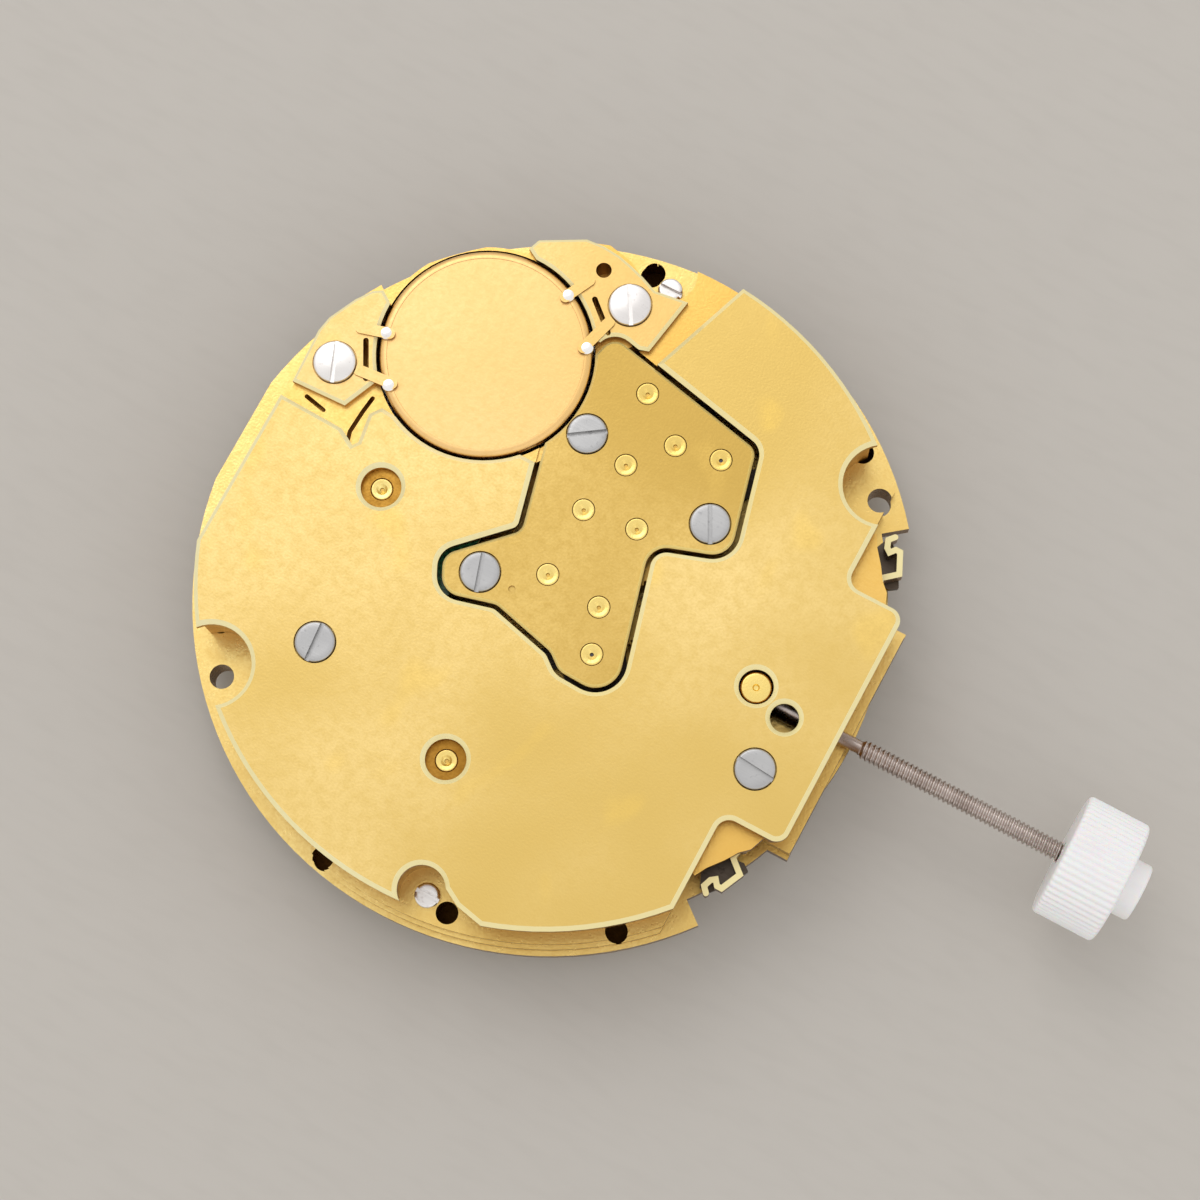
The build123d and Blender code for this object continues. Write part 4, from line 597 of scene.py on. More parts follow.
def solid_places(node: str) -> list[Point]:
    """Finds where each separate solid of a node stands.

    Args:
        node: Name of the node.

    Returns:
        The middle of each solid's top, in metres.
    """
    shape = merged_copy(node)
    places, left = [], set(shape.verts)
    while left:
        group, edge = set(), [left.pop()]
        while edge:
            corner = edge.pop()
            group.add(corner)
            near = {link.other_vert(corner) for link in corner.link_edges} & left
            left -= near
            edge.extend(near)
        corners = [[corner.co[axis] for corner in group] for axis in range(3)]
        middle = [(min(values) + max(values)) / 2 for values in corners[:2]]
        places.append((middle[0], middle[1], max(corners[2])))
    shape.free()
    return sorted(places)


class Part(IntEnum):
    """Parts of a plate with a finish of their own, in the order of its material slots."""

    FLAT = 0
    BEVEL = 1
    WALL = 2
    HOLE_FLOOR = 3


@dataclass
class EdgedNode:
    """A CAD node whose bevels take a paler, glossier finish than its faces, a painted highlight on real polish,
    and whose walls and hole floors take painted shade.
    """

    node: str
    body: str
    slot: str
    finish: Finish
    edge_finish: Finish
    wall_finish: Finish
    lowest: float = 0.12
    highest: float = 0.97
    # Upward faces below this level, in mm, take the hole finish: painted shade.
    floor_level: float = 0.75
    sharp_angle: float = 34.0
    hole_finish: Finish = HOLE_SHADE

    def part_of(self, face: bmesh.types.BMFace) -> Part:
        """Says which part of the plate a face belongs to.

        Args:
            face: The face.

        Returns:
            The part.
        """
        if face.normal.z < -self.highest:
            return Part.FLAT
        # Upward faces low down are hole floors: painted shade.
        if face.normal.z > self.highest:
            return Part.FLAT if face.calc_center_median().z > self.floor_level * MM else Part.HOLE_FLOOR
        # Sloped faces take the bevel finish, a painted highlight; steep ones take the wall finish, painted shade.
        return Part.BEVEL if face.normal.z > self.lowest else Part.WALL

    def build(self) -> bpy.types.Object:
        """Builds the copy with painted highlights on its bevels and painted shade on its walls and hole floors,
        and ties it in.

        Returns:
            The piece.
        """
        shape = merged_copy(self.node)
        shape.normal_update()
        for face in shape.faces:
            face.material_index = self.part_of(face).value
        mesh = close_mesh(self.node + "_look", shape, self.finish, self.edge_finish, self.wall_finish,
                          self.hole_finish)
        mesh.attributes.remove(mesh.attributes["custom_normal"])
        piece = shade(add_piece(self.node + "_look", mesh), self.sharp_angle)
        return settle(piece, self.body, self.slot, self.node)


class FieldTree(NodeSheet):
    """A geometry tree with named inputs."""

    def __init__(self, name: str, inputs: Sequence[tuple[str, str]]) -> None:
        """Starts a tree.

        Args:
            name: Name of the tree.
            inputs: Names and socket types of its inputs after the geometry.
        """
        super().__init__(bpy.data.node_groups.new(name, "GeometryNodeTree"))
        face = self.tree.interface
        face.new_socket(name="Geometry", in_out="INPUT", socket_type="NodeSocketGeometry")
        self.identifiers = {
            label: face.new_socket(name=label, in_out="INPUT", socket_type=kind).identifier
            for label, kind in inputs
        }
        face.new_socket(name="Geometry", in_out="OUTPUT", socket_type="NodeSocketGeometry")
        self.start = self.node("NodeGroupInput")

    def given(self, name: str) -> bpy.types.NodeSocket:
        """Socket of one named input."""
        return self.start.outputs[name]

    def number(self, name: str) -> Signal:
        """Named input as a number."""
        return Signal(self, self.given(name))

    def finish_with(self, geometry: bpy.types.NodeSocket) -> None:
        """Ends the tree in Realize Instances and Set Material.

        Args:
            geometry: What the tree has made.
        """
        real = self.node("GeometryNodeRealizeInstances", None, {"Geometry": geometry})
        painted = self.node("GeometryNodeSetMaterial", None,
                            {"Geometry": real.outputs[0], "Material": self.given("Finish")})
        self.node("NodeGroupOutput", None, {"Geometry": painted.outputs[0]})

    def grow(self, piece: bpy.types.Object, values: Mapping[str, Any]) -> bpy.types.Object:
        """Runs the tree on a piece and keeps the result as its mesh.

        Args:
            piece: Object that holds the input geometry.
            values: Values of the named inputs.

        Returns:
            The same object with a plain mesh.
        """
        modifier = piece.modifiers.new("shape", "NODES")
        modifier.node_group = self.tree
        for name, value in values.items():
            modifier[self.identifiers[name]] = value
        return freeze(piece)

    def wrapped_grid(self, profile: bpy.types.NodeSocket, around: bpy.types.NodeSocket) -> tuple[
            bpy.types.NodeSocket, Signal, Signal]:
        """Makes a grid with one row for each point of a profile.

        Args:
            profile: Geometry whose points are the profile.
            around: How many steps go round.

        Returns:
            The grid, the row of each point and its angle.
        """
        count = self.node("GeometryNodeAttributeDomainSize", None, {"Geometry": profile})
        rows = self.signal(count, "Point Count")
        columns = Signal(self, around)
        grid = self.node("GeometryNodeMeshGrid", None, {"Vertices X": columns + 1.0, "Vertices Y": rows})
        index = self.signal(self.node("GeometryNodeInputIndex"))
        angle = (index / rows).apply("FLOOR") / columns * FULL_TURN
        return grid.outputs["Mesh"], index % rows, angle

    def sampled(self, geometry: bpy.types.NodeSocket, value: bpy.types.NodeSocket, row: Signal,
                kind: str) -> bpy.types.NodeSocket:
        """Reads a value of one point of a geometry.

        Args:
            geometry: Where it is read.
            value: The field that is read.
            row: Number of the point.
            kind: Data type of the field.

        Returns:
            The value.
        """
        settings = {"data_type": kind, "domain": "POINT"}
        values = {"Geometry": geometry, "Value": value, "Index": row}
        return self.find(self.node("GeometryNodeSampleIndex", settings, values).outputs, "Value")

    def profile_spot(self, profile: bpy.types.NodeSocket, row: Signal) -> tuple[Signal, Signal]:
        """Gives x and z of the profile's point in each row.

        Args:
            profile: Geometry whose points are the profile.
            row: Number of the point.

        Returns:
            Its x and its z.
        """
        position = self.node("GeometryNodeInputPosition").outputs[0]
        spot = self.sampled(profile, position, row, "FLOAT_VECTOR")
        parts = self.node("ShaderNodeSeparateXYZ", None, {0: spot})
        return self.signal(parts, "X"), self.signal(parts, "Z")

    def attribute(self, name: str) -> bpy.types.NodeSocket:
        """Reads a named number of the points."""
        node = self.node("GeometryNodeInputNamedAttribute", {"data_type": "FLOAT"}, {"Name": name})
        return self.find(node.outputs, "Attribute")

    def placed(self, grid: bpy.types.NodeSocket, x: Signal, y: Signal, z: Signal) -> bpy.types.NodeSocket:
        """Moves the points of a grid and closes its seam.

        Args:
            grid: The grid.
            x: New x of each point.
            y: New y of each point.
            z: New z of each point.

        Returns:
            The closed surface.
        """
        spot = self.node("ShaderNodeCombineXYZ", None, {"X": x, "Y": y, "Z": z})
        moved = self.node("GeometryNodeSetPosition", None, {"Geometry": grid, "Position": spot.outputs[0]})
        values = {"Geometry": moved.outputs[0], "Distance": MERGE_DISTANCE * MM}
        return self.node("GeometryNodeMergeByDistance", None, values).outputs[0]


def turned_tree() -> FieldTree:
    """Makes the tree that turns a profile on a lathe, cuts a slot and sets the part at each point.

    Returns:
        The tree for turned parts.
    """
    tree = FieldTree("turned parts", [("Profile", "NodeSocketObject"), ("Steps Round", "NodeSocketInt"),
                                      ("Slotted", "NodeSocketBool"), ("Slot Length", "NodeSocketFloat"),
                                      ("Slot Width", "NodeSocketFloat"), ("Slot Depth", "NodeSocketFloat"),
                                      ("Finish", "NodeSocketMaterial")])
    profile = tree.node("GeometryNodeObjectInfo", None, {"Object": tree.given("Profile")}).outputs["Geometry"]
    grid, row, angle = tree.wrapped_grid(profile, tree.given("Steps Round"))
    radius, height = tree.profile_spot(profile, row)
    body = tree.placed(grid, radius * angle.apply("COSINE"), radius * angle.apply("SINE"), height)
    size = tree.node("ShaderNodeCombineXYZ", None, {"X": tree.given("Slot Length"), "Y": tree.given("Slot Width"),
                                                    "Z": 2.0 * tree.number("Slot Depth")})
    slot = tree.node("GeometryNodeMeshCube", None, {"Size": size.outputs[0]})
    cut = tree.node("GeometryNodeMeshBoolean", {"operation": "DIFFERENCE", "solver": "EXACT"},
                    {"Mesh 1": body, "Mesh 2": slot.outputs["Mesh"]})
    choice = tree.node("GeometryNodeSwitch", {"input_type": "GEOMETRY"},
                       {"Switch": tree.given("Slotted"), "False": body, "True": cut.outputs["Mesh"]})
    turn = tree.node("ShaderNodeCombineXYZ", None, {"Z": tree.attribute("turn")})
    values = {"Points": tree.given("Geometry"), "Instance": choice.outputs[0], "Rotation": turn.outputs[0]}
    many = tree.node("GeometryNodeInstanceOnPoints", None, values)
    tree.finish_with(many.outputs[0])
    return tree


def ribbed_tree() -> FieldTree:
    """Makes the tree for a bar along x, with ribs or a thread where its profile asks for them.

    Returns:
        The tree for ribbed bars.
    """
    tree = FieldTree("ribbed bar", [("Steps Round", "NodeSocketInt"), ("Ribs", "NodeSocketFloat"),
                                    ("Pitch", "NodeSocketFloat"), ("Rib Depth", "NodeSocketFloat"),
                                    ("Rib Sharpness", "NodeSocketFloat"), ("Finish", "NodeSocketMaterial")])
    profile = tree.given("Geometry")
    grid, row, angle = tree.wrapped_grid(profile, tree.given("Steps Round"))
    along, radius = tree.profile_spot(profile, row)
    ribbed = Signal(tree, tree.sampled(profile, tree.attribute("ribbed"), row, "FLOAT"))
    squared = Signal(tree, tree.sampled(profile, tree.attribute("squared"), row, "FLOAT"))
    phase = tree.number("Ribs") * angle - FULL_TURN * along / tree.number("Pitch")
    groove = (0.5 - 0.5 * phase.apply("COSINE")) ** tree.number("Rib Sharpness")
    cosine, sine = angle.apply("COSINE"), angle.apply("SINE")
    flat = cosine.math("MAXIMUM", cosine.apply("ABSOLUTE"), sine.apply("ABSOLUTE"))
    reach = (radius - tree.number("Rib Depth") * ribbed * groove) / (1.0 + squared * (flat - 1.0))
    tree.finish_with(tree.placed(grid, along, reach * cosine, reach * sine))
    return tree


def points_mesh(name: str, points: Sequence[Point], numbers: Mapping[str, Sequence[float]]) -> bpy.types.Object:
    """Makes an object of loose points with named numbers.

    Args:
        name: Name of the object.
        points: The points, in metres.
        numbers: Numbers of each point, by name.

    Returns:
        The object.
    """
    mesh = bpy.data.meshes.new(name)
    mesh.from_pydata(list(points), [], [])
    for label, values in numbers.items():
        mesh.attributes.new(label, "FLOAT", "POINT").data.foreach_set("value", list(values))
    return add_piece(name, mesh)


def bar_profile(name: str, rows: Sequence[Row]) -> bpy.types.Object:
    """Makes the profile object of a bar."""
    points = [(along * MM, 0.0, radius * MM) for along, radius, _, _ in rows]
    return points_mesh(name, points, {"ribbed": [row[2] for row in rows], "squared": [row[3] for row in rows]})


@dataclass
class TurnedParts:
    """Round parts of one shape that stand in several places."""

    name: str
    node: str
    body: str
    slot: str
    finish: Finish
    outline: list[Flat]
    turns: list[float] = field(default_factory=list)
    places: list[Point] = field(default_factory=list)
    steps_round: int = 64
    slot_size: tuple[float, float, float] | None = None

    def build(self, tree: FieldTree) -> bpy.types.Object:
        """Turns the outline, sets it at each place and ties the piece in.

        Args:
            tree: The tree for turned parts.

        Returns:
            The piece.
        """
        places = self.places or solid_places(self.node)
        turns = [math.radians(turn) for turn in self.turns] or [0.0] * len(places)
        piece = points_mesh(self.name, places, {"turn": turns})
        profile = points_mesh(self.name + "_profile", [(r * MM, 0.0, z * MM) for r, z in self.outline], {})
        slot_size = self.slot_size or (1.0, 1.0, 1.0)
        tree.grow(piece, {"Profile": profile, "Steps Round": self.steps_round,
                          "Slotted": self.slot_size is not None, "Slot Length": slot_size[0] * MM,
                          "Slot Width": slot_size[1] * MM, "Slot Depth": slot_size[2] * MM,
                          "Finish": self.finish.material()})
        bpy.data.objects.remove(profile)
        return settle(shade(piece), self.body, self.slot, *([self.node] if self.node else []))


def quarter(radius: float, steps: int = ROUND_STEPS) -> list[Flat]:
    """Points of a quarter circle, from its side to its top."""
    angles = [math.pi / 2 * step / steps for step in range(steps + 1)]
    return [(radius * math.cos(angle), radius * math.sin(angle)) for angle in angles]


def rounded(radius: float, edge: float, dome: float = 0.0, steps: int = ROUND_STEPS) -> list[Flat]:
    """Outline of a round top at level 0: a rounded rim and a flat or slightly domed face.

    Args:
        radius: Outer radius.
        edge: Radius of the rounded rim.
        dome: How far the face rises from rim to middle.
        steps: Steps in the rim.

    Returns:
        Points from the wall to the middle of the face.
    """
    points = [(radius - edge + across, up - dome - edge) for across, up in quarter(edge, steps)]
    for step in range(1, steps + 1):
        share = step / steps
        points.append(((radius - edge) * (1 - share), -dome * (1 - share) ** 2))
    return points


@dataclass
class Plates:
    """Main plate, frame, cover, bridges and clamps: everything gilt that other pieces stand on."""

    def build(self) -> None:
        """Builds each plate."""
        # Each plate's bevels take a painted highlight and its walls painted shade; the counter bridge takes the
        # wall finish, painted shade, on its faces as well.
        sets = (("module_cover", "gilt", GILT_COVER, GILT_EDGE_HIGHLIGHT, GILT_WALL_SHADE),
                ("train_bridge", "gilt_dark", GILT_BRIDGE, SOFT_EDGE_HIGHLIGHT, GILT_WALL_SHADE),
                ("battery_clamp_left", "gilt_clamp", GILT_CLAMP, GILT_EDGE_HIGHLIGHT, GILT_WALL_SHADE),
                ("battery_clamp_right", "gilt_clamp", GILT_CLAMP, GILT_EDGE_HIGHLIGHT, GILT_WALL_SHADE),
                ("main_plate", "gilt_side", GILT_PLATE, GILT_EDGE_HIGHLIGHT, PLATE_WALL_SHADE),
                ("train_frame", "gilt_side", GILT_FRAME, GILT_EDGE_HIGHLIGHT, GILT_WALL_SHADE),
                ("counter_bridge", "gilt_side", GILT_WALL_SHADE, GILT_EDGE_HIGHLIGHT, GILT_WALL_SHADE))
        for node, slot, finish, edge, wall in sets:
            EdgedNode(node, ROOT_BODY, slot, finish, edge, wall).build()


@dataclass
class Fasteners:
    """Slotted screws, pivot bushings and the release button."""

    head_radius: float = 0.89
    head_height: float = 0.42
    shank_radius: float = 0.3
    shank_length: float = 1.4
    clamp_radius: float = 0.95
    clamp_dome: float = 0.08
    casing_radius: float = 0.56
    casing_shank: float = 0.8
    head_edge: float = 0.12
    slot_width: float = 0.2
    slot_depth: float = 0.2
    slot_reach: float = 3.0
    bushing_radius: float = 0.5
    bushing_height: float = 0.33
    bushing_rim: float = 0.07
    bushing_steps: int = 48
    bushing_top: tuple[Flat, ...] = ((0.46, -0.01), (0.43, 0.0), (0.38, -0.015), (0.27, -0.015), (0.24, -0.03),
                                     (0.18, -0.096), (0.12, -0.12), (0.09, -0.14))
    pivot_hole: float = 0.09
    button_radius: float = 0.7
    button_pin: float = 0.3
    button_height: float = 0.7
    button_dimple: tuple[Flat, ...] = ((0.16, -0.01), (0.1, -0.09), (0.0, -0.1))
    cover_turns: tuple[float, ...] = (95.0, -5.0)
    bridge_turns: tuple[float, ...] = (108.0, 34.0, 118.0)
    clamp_turns: tuple[float, ...] = (112.0, 121.0)
    casing_turns: tuple[float, ...] = (0.0, 0.0)

    def screw_outline(self, radius: float, shank: float, dome: float) -> list[Flat]:
        """Outline of a screw from the middle of its tip round to the middle of its head.

        Args:
            radius: Head radius.
            shank: Shank length.
            dome: Rise of the head.

        Returns:
            The outline, with the head's top at level 0.
        """
        seat = -self.head_height - dome
        tip = seat - shank
        bottom = [(0.0, tip), (self.shank_radius, tip), (self.shank_radius, seat), (radius, seat)]
        return bottom + rounded(radius, self.head_edge, dome)

    def bushing_outline(self) -> list[Flat]:
        """Outline of a bushing with its polished rim, its flat and its oil sink.

        Returns:
            The outline, with the bushing's top at level 0.
        """
        foot = -self.bushing_height
        return [(self.pivot_hole, foot), (self.bushing_radius, foot), (self.bushing_radius, -self.bushing_rim),
                *self.bushing_top, (self.pivot_hole, foot)]

    def build(self, tree: FieldTree) -> None:
        """Builds every set of round fasteners.

        Args:
            tree: The tree for turned parts.
        """
        plain, pale = (SCREW_STEEL, "screw_steel"), (PALE_STEEL_AND_HIGHLIGHT, "screw_pale")
        head = self.head_radius, self.shank_length, 0.0
        sets = (("module_cover_screws", head, self.cover_turns, plain),
                ("train_bridge_screws", head, self.bridge_turns, plain),
                ("battery_clamp_screws", (self.clamp_radius, self.shank_length, self.clamp_dome), self.clamp_turns,
                 pale),
                ("casing_screws", (self.casing_radius, self.casing_shank, 0.0), self.casing_turns, pale))
        for node, (radius, shank, dome), turns, (finish, slot) in sets:
            cut = (self.slot_reach * radius, self.slot_width, self.slot_depth)
            TurnedParts(node + "_look", node, ROOT_BODY, slot, finish, self.screw_outline(radius, shank, dome),
                        list(turns), slot_size=cut).build(tree)
        TurnedParts("pivot_bushings_look", "pivot_bushings", ROOT_BODY, "gilt", BUSHING_BRASS,
                    self.bushing_outline(), steps_round=self.bushing_steps).build(tree)
        low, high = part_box("release_button")
        height = (high.z - low.z) / MM
        outline = [(0.0, -height), (self.button_pin, -height), (self.button_pin, -self.button_height),
                   (self.button_radius, -self.button_height)]
        outline += rounded(self.button_radius, self.head_edge)[:ROUND_STEPS + 1] + list(self.button_dimple)
        TurnedParts("release_button_look", "release_button", "button", "gilt", BUSHING_BRASS, outline).build(tree)


@dataclass
class Battery:
    """Battery can with its crimped edge, and near-white tips where the clamp tabs press on it, their colour a
    painted highlight.
    """

    radius: float = 4.75
    edge: float = 0.3
    wall: float = 0.2
    edge_steps: int = 8
    can_steps: int = 128
    ring_width: float = 0.06
    ring_slope: float = 0.015
    ring_rise: float = 0.03
    face_level: float = 0.6
    tip_radius: float = 0.3
    tip_height: float = 0.12
    tip_reach: float = 4.5
    tip_edge: float = 0.06
    tip_dome: float = 0.03
    tip_steps: int = 32
    tip_angles: tuple[float, ...] = (196.3, 227.0, 63.6, 30.5)

    def build(self, tree: FieldTree) -> None:
        """Builds the can and the tips.

        Args:
            tree: The tree for turned parts.
        """
        low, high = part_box("battery_can")
        height = (high.z - low.z) / MM
        inner, flat = self.radius - self.wall, self.radius - self.edge
        ring = flat - self.ring_width
        outline = [(inner, -height), (self.radius, -height)]
        outline += rounded(self.radius, self.edge, 0.0, self.edge_steps)[:self.edge_steps + 1]
        outline += [(ring, 0.0), (ring - self.ring_slope, -self.ring_rise), (flat / 2, -self.ring_rise),
                    (0.0, -self.ring_rise), (0.0, -2 * self.wall), (inner, -2 * self.wall), (inner, -height)]
        can = TurnedParts("battery_can_look", "battery_can", ROOT_BODY, "battery_steel", BATTERY_STEEL, outline,
                          steps_round=self.can_steps).build(tree)
        can.data.materials.append(BATTERY_FACE.material())
        for face in can.data.polygons:
            if face.normal.z > self.face_level:
                face.material_index = len(can.data.materials) - 1
        middle = ((low.x + high.x) / 2, (low.y + high.y) / 2)
        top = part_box("battery_clamp_left")[1].z
        places = [(middle[0] + self.tip_reach * MM * math.cos(math.radians(angle)),
                   middle[1] + self.tip_reach * MM * math.sin(math.radians(angle)), top + self.tip_dome * MM)
                  for angle in self.tip_angles]
        tip = [(0.0, -self.tip_height), (self.tip_radius, -self.tip_height)]
        tip += rounded(self.tip_radius, self.tip_edge, self.tip_dome)
        # Near-white silver domes on the clamp tabs: a painted highlight where the gold tabs catch the light.
        TurnedParts("contact_tips", "", ROOT_BODY, "battery_steel", SILVER_AND_TIP_HIGHLIGHT, tip, places=places,
                    steps_round=self.tip_steps).build(tree)
        dress(["battery_gasket", "battery_insulator"], CLEAR_FILM)
        dress(["battery_cap", "negative_contact"], BATTERY_STEEL)
        dress(["battery_cell"], CELL_BLACK)


@dataclass
class StemAndCrown:
    """Winding stem with its thread, and the fluted handling crown."""

    axis_height: float = 2.35
    stem_steps: int = 32
    pilot_radius: float = 0.25
    pilot_edge: float = 0.05
    square_side: float = 0.56
    collar_radius: float = 0.55
    groove_radius: float = 0.3
    bearing_radius: float = 0.58
    neck_radius: float = 0.3
    thread_radius: float = 0.45
    thread_depth: float = 0.1
    pitch: float = 0.225
    rows_per_pitch: int = 8
    square_start: float = 7.95
    collar_start: float = 9.6
    groove_start: float = 10.05
    groove_end: float = 10.65
    neck_start: float = 14.35
    thread_start: float = 15.4
    crown_radius: float = 2.8
    crown_body: float = 2.9
    flutes: int = 56
    steps_per_flute: int = 8
    flute_depth: float = 0.085
    flute_sharpness: float = 1.6
    rim: float = 0.22
    boss_radius: float = 1.3
    boss_rim: float = 0.16
    bore_radius: float = 0.5
    bore_depth: float = 2.2
    sharp_angle: float = 50.0

    def stem_rows(self, start: float, end: float) -> list[Row]:
        """Profile of the stem.

        Args:
            start: Inner end of the stem.
            end: Outer end of its thread.

        Returns:
            The rows from inner to outer end.
        """
        half = self.square_side / 2
        edge, pilot = self.pilot_edge, self.pilot_radius
        rows = [(start, 0.0, 0.0, 0.0), (start, pilot - edge, 0.0, 0.0), (start + edge, pilot, 0.0, 0.0),
                (self.square_start, pilot, 0.0, 0.0), (self.square_start, half, 0.0, 1.0),
                (self.collar_start, half, 0.0, 1.0)]
        steps = ((self.collar_start, self.groove_start, self.collar_radius),
                 (self.groove_start, self.groove_end, self.groove_radius),
                 (self.groove_end, self.neck_start, self.bearing_radius),
                 (self.neck_start, self.thread_start, self.neck_radius))
        for low, high, radius in steps:
            rows += [(low, radius, 0.0, 0.0), (high, radius, 0.0, 0.0)]
        count = int((end - self.thread_start) / self.pitch * self.rows_per_pitch)
        for step in range(count + 1):
            place = self.thread_start + (end - self.thread_start) * step / count
            lead = min(1.0, step / self.rows_per_pitch)
            radius = self.neck_radius + (self.thread_radius - self.neck_radius) * lead
            rows.append((place, radius, lead, 0.0))
        rows.append((end, 0.0, 0.0, 0.0))
        return rows

    def crown_rows(self, start: float, end: float) -> list[Row]:
        """Profile of the crown, from the bore's floor round the outside to the boss.

        Args:
            start: Inner face of the crown.
            end: Outer face of its boss.

        Returns:
            The rows.
        """
        body_end, wall = start + self.crown_body, self.crown_radius - self.rim
        rows = [(start + self.bore_depth, 0.0, 0.0, 0.0), (start + self.bore_depth, self.bore_radius, 0.0, 0.0),
                (start, self.bore_radius, 0.0, 0.0), (start, wall, 0.0, 0.0)]
        arc = quarter(self.rim)
        for step, (across, up) in enumerate(arc[1:], 1):
            rows.append((start + self.rim - across, wall + up, step / ROUND_STEPS, 0.0))
        for step, (across, up) in enumerate(arc[:-1]):
            rows.append((body_end - self.rim + up, wall + across, 1.0 - step / ROUND_STEPS, 0.0))
        rows += [(body_end, wall, 0.0, 0.0), (body_end, self.boss_radius, 0.0, 0.0)]
        boss = self.boss_radius - self.boss_rim
        rows += [(end - self.boss_rim + up, boss + across, 0.0, 0.0) for across, up in quarter(self.boss_rim)]
        rows.append((end, 0.0, 0.0, 0.0))
        return rows

    def build(self, tree: FieldTree) -> None:
        """Builds stem and crown at the stem's height.

        Args:
            tree: The tree for ribbed bars.
        """
        stem_low, stem_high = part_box("winding_stem")
        crown_low, crown_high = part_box("crown")
        axis = self.axis_height * MM
        stem = bar_profile("winding_stem_look", self.stem_rows(stem_low.x / MM, stem_high.x / MM))
        tree.grow(stem, {"Steps Round": self.stem_steps, "Ribs": 1.0, "Pitch": self.pitch * MM,
                         "Rib Depth": self.thread_depth * MM, "Rib Sharpness": 1.0,
                         "Finish": STEM_STEEL.material()})
        crown = bar_profile("crown_look", self.crown_rows(crown_low.x / MM, crown_high.x / MM - BOX_MARGIN))
        tree.grow(crown, {"Steps Round": self.flutes * self.steps_per_flute, "Ribs": float(self.flutes),
                          "Pitch": 1.0, "Rib Depth": self.flute_depth * MM,
                          "Rib Sharpness": self.flute_sharpness, "Finish": CROWN_WHITE.material()})
        for piece, slot, node in ((stem, "steel", "winding_stem"), (crown, "white_plastic", "crown")):
            piece.data.transform(Matrix.Translation((0.0, 0.0, axis)))
            settle(shade(piece, self.sharp_angle), "stem", slot, node)


@dataclass
class Pushers:
    """Levers and wavy contact springs at the two pusher notches, and the setting parts."""

    def build(self) -> None:
        """Builds springs and levers."""
        for side in ("start", "reset"):
            spring = side + "_contact_spring"
            # Springs take the pale bevel finish all over, a painted highlight, with painted shade on their walls;
            # the levers' bevels take pale steel, a painted highlight.
            EdgedNode(spring, side + "_contact", "gilt", GILT_EDGE_HIGHLIGHT, GILT_EDGE_HIGHLIGHT, PLATE_WALL_SHADE).build()
            EdgedNode(side + "_lever", side + "_lever", "steel", LEVER_STEEL, PALE_STEEL_AND_HIGHLIGHT, LEVER_STEEL).build()
        dress(["setting_lever", "yoke", "setting_pinion"], LEVER_STEEL)


@dataclass
class Calendar:
    """Date ring with plain numbers, its plate and screws, and the date jumper and finger of the dial side."""

    number_height: float = 1.25
    number_reach: float = 13.25
    number_thickness: float = 0.012
    number_steps: int = 3
    days: int = 31

    def numbers(self) -> bpy.types.Object:
        """Makes the plain numbers 1 to 31 on the underside of the date ring.

        Returns:
            One piece with all the numbers.
        """
        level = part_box("date_ring")[0].z
        shape = bmesh.new()
        for day in range(1, self.days + 1):
            curve = bpy.data.curves.new("number", "FONT")
            curve.body = str(day)
            curve.size = self.number_height * MM
            curve.align_x, curve.align_y = "CENTER", "CENTER"
            curve.extrude = self.number_thickness * MM / 2
            curve.resolution_u = self.number_steps
            text = add_piece("number", curve)
            graph = bpy.context.evaluated_depsgraph_get()
            mesh = bpy.data.meshes.new_from_object(text.evaluated_get(graph))
            around = Matrix.Rotation(FULL_TURN * (day - 1) / self.days, 4, "Z")
            outward = Matrix.Translation((self.number_reach * MM, 0.0, level - self.number_thickness * MM / 2))
            mesh.transform(around @ outward @ Matrix.Rotation(math.pi, 4, "X"))
            shape.from_mesh(mesh)
            bpy.data.objects.remove(text)
        bmesh.ops.remove_doubles(shape, verts=shape.verts, dist=MERGE_DISTANCE * MM)
        mesh = close_mesh("date_numbers", shape, PRINT_BLACK)
        return settle(add_piece("date_numbers", mesh), "date_ring", "ring_white")

    def build(self) -> None:
        """Builds the numbers and dresses the dial side."""
        self.numbers()
        dress(["date_ring"], RING_WHITE)
        EdgedNode("date_ring_plate", ROOT_BODY, "gilt_side", GILT_PLATE, GILT_EDGE_HIGHLIGHT, PLATE_WALL_SHADE).build()
        dress(["date_plate_screws"], SCREW_STEEL)
        dress(["date_jumper", "date_finger"], LEVER_STEEL)


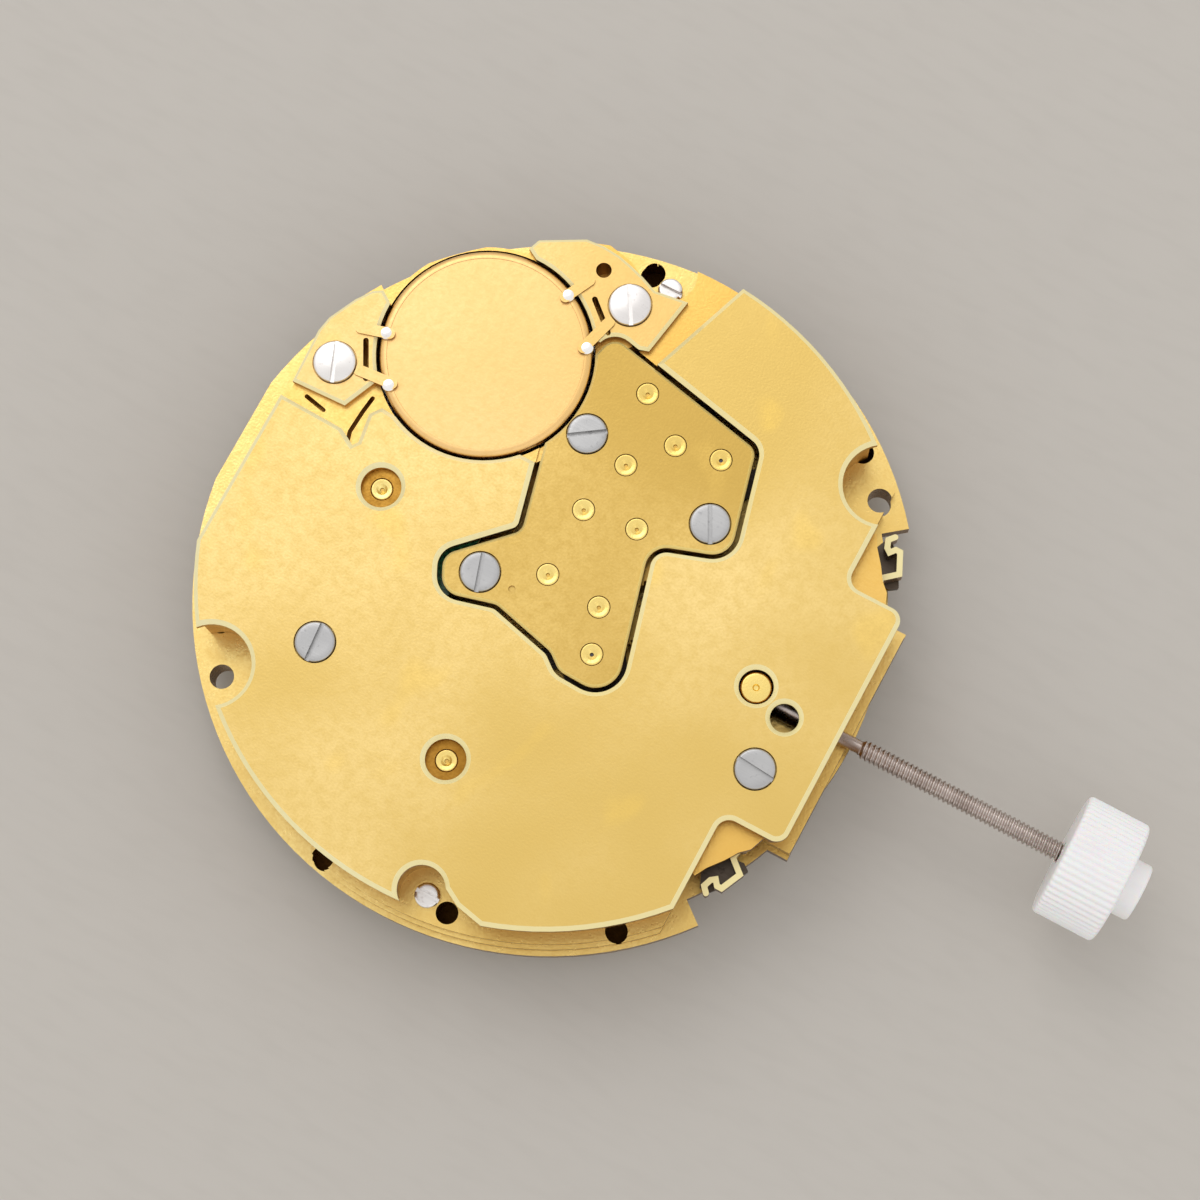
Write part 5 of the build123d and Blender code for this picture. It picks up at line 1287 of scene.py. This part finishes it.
@dataclass
class Works:
    """Wheels, rotors, coils and the circuit board under the cover."""

    coil_length: float = 5.0
    coil_radius: float = 0.75
    wire_pitch: float = 0.09
    wire_depth: float = 0.03
    rows_per_turn: int = 4
    coil_steps: int = 24
    sharp_angle: float = 60.0
    coil_turns: tuple[float, ...] = (-10.0, 0.0, 27.0)
    coil_places: tuple[Flat, ...] = ((4.495, 11.749), (2.0, -5.1), (6.293, -10.602))

    def windings(self, tree: FieldTree) -> bpy.types.Object:
        """Winds the wire of the three coils.

        Args:
            tree: The tree for ribbed bars.

        Returns:
            One piece with the three windings.
        """
        low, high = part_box("coil_windings")
        height = (low.z + high.z) / 2
        count = int(self.coil_length / self.wire_pitch * self.rows_per_turn)
        start = -self.coil_length / 2
        rows = [(start, 0.0, 0.0, 0.0)]
        places = [start + self.coil_length * step / count for step in range(count + 1)]
        rows += [(place, self.coil_radius, 1.0, 0.0) for place in places]
        rows.append((-start, 0.0, 0.0, 0.0))
        shape = bmesh.new()
        for spot, turn in zip(self.coil_places, self.coil_turns):
            coil = bar_profile("coil", rows)
            tree.grow(coil, {"Steps Round": self.coil_steps, "Ribs": 1.0, "Pitch": self.wire_pitch * MM,
                             "Rib Depth": self.wire_depth * MM, "Rib Sharpness": 1.0,
                             "Finish": COPPER_WIRE.material()})
            place = Matrix.Translation((spot[0] * MM, spot[1] * MM, height))
            coil.data.transform(place @ Matrix.Rotation(math.radians(turn), 4, "Z"))
            shape.from_mesh(coil.data)
            bpy.data.objects.remove(coil)
        mesh = close_mesh("coil_windings_look", shape, COPPER_WIRE)
        piece = shade(add_piece("coil_windings_look", mesh), self.sharp_angle)
        return settle(piece, ROOT_BODY, "copper", "coil_windings")

    def build(self, tree: FieldTree) -> None:
        """Builds the windings and dresses the rest.

        Args:
            tree: The tree for ribbed bars.
        """
        self.windings(tree)
        wheels = ["running_intermediate_wheel", "small_seconds_wheel", "third_wheel", "transfer_wheel",
                  "minute_drive_wheel", "centre_minute_wheel", "chronograph_intermediate_wheel",
                  "centre_seconds_wheel", "counter_intermediate_wheel", "minute_counter_wheel", "cannon_pinion",
                  "hour_wheel", "minute_wheel", "day_hour_idler", "day_hour_wheel", "setting_wheel"]
        dress(wheels, WHEEL_BRASS)
        dress(["running_rotor", "chronograph_rotor", "counter_rotor"], MAGNET_GREY)
        dress(["coil_cores", "quartz_crystal"], SILVER_AND_TIP_HIGHLIGHT)
        dress(["stators"], LEVER_STEEL)
        dress(["circuit_board"], BOARD_GREEN)
        dress(["ic_chip"], DARK_PLASTIC)


@dataclass
class Studio:
    """Pale floor, soft lamps, white surroundings and the camera."""

    floor_level: float = -1.9
    floor_radius: float = 900.0
    look_at: Point = (2.567, 0.046, 4.9)
    stand: Point = (18.085, -19.400, 127.4)
    upright: Point = (-0.47546, 0.87974, 0.0)
    focal_pixels: float = 2882.0
    image_pixels: float = 1200.0
    sensor: float = 36.0
    sky_light: float = 0.8
    floor_steps: int = 96
    lamps: tuple[tuple[str, Point, float, float], ...] = (("key lamp", (-160.0, 140.0, 300.0), 200.0, 0.2),
                                                          ("fill lamp", (220.0, -120.0, 260.0), 220.0, 0.03))

    def floor(self) -> None:
        """Lays the floor under the lowest arbor."""
        shape = bmesh.new()
        bmesh.ops.create_circle(shape, cap_ends=True, segments=self.floor_steps, radius=self.floor_radius * MM)
        mesh = close_mesh("floor", shape, FLOOR_GREY)
        mesh.transform(Matrix.Translation((0.0, 0.0, self.floor_level * MM)))
        add_piece("floor", mesh)

    def surroundings(self) -> None:
        """Makes the world white to look at and in reflections, and softer as a light."""
        world = bpy.data.worlds.new("studio")
        world.use_nodes = True
        world.node_tree.nodes.clear()
        sheet = NodeSheet(world.node_tree)
        path = sheet.node("ShaderNodeLightPath")
        seen = sheet.signal(path, "Is Camera Ray").math(
            "MAXIMUM", sheet.signal(path, "Is Camera Ray"), sheet.signal(path, "Is Glossy Ray"))
        seen = seen.math("MAXIMUM", seen, sheet.signal(path, "Is Transmission Ray"))
        strength = self.sky_light + (1.0 - self.sky_light) * seen
        light = sheet.node("ShaderNodeBackground", None, {"Color": WHITE, "Strength": strength})
        sheet.node("ShaderNodeOutputWorld", None, {"Surface": light.outputs[0]})
        bpy.context.scene.world = world

    def lamp(self, name: str, place: Point, size: float, power: float) -> None:
        """Hangs one soft square lamp that faces the movement.

        Args:
            name: Name of the lamp.
            place: Where it hangs.
            size: Length of its side.
            power: Its power in watts.
        """
        light = bpy.data.lights.new(name, "AREA")
        light.size = size * MM
        light.energy = power
        lamp = add_piece(name, light)
        spot = Vector(place) * MM
        lamp.matrix_world = Matrix.Translation(spot) @ (-spot).to_track_quat("-Z", "Y").to_matrix().to_4x4()

    def camera(self) -> None:
        """Stands the camera where the photograph was taken from."""
        spot, aim = Vector(self.stand) * MM, Vector(self.look_at) * MM
        forward = (aim - spot).normalized()
        right = forward.cross(Vector(self.upright)).normalized()
        up = right.cross(forward)
        view = bpy.data.cameras.new("camera")
        view.sensor_width = self.sensor
        view.lens = self.focal_pixels / self.image_pixels * self.sensor
        view.clip_start = MM
        camera = add_piece("camera", view)
        turn = Matrix((right, up, -forward)).transposed().to_4x4()
        camera.matrix_world = Matrix.Translation(spot) @ turn
        bpy.context.scene.camera = camera

    def build(self) -> None:
        """Sets up the whole studio."""
        self.floor()
        self.surroundings()
        for lamp in self.lamps:
            self.lamp(*lamp)
        self.camera()
        bpy.context.scene.view_settings.view_transform = "Standard"


def main() -> None:
    """Builds every sub-assembly in order and reports it."""
    logging.basicConfig(level=logging.INFO, format="%(message)s")
    turned, ribbed = turned_tree(), ribbed_tree()
    Plates().build()
    Fasteners().build(turned)
    Battery().build(turned)
    StemAndCrown().build(ribbed)
    Pushers().build()
    Calendar().build()
    Works().build(ribbed)
    Studio().build()


if __name__ == "__main__":
    main()
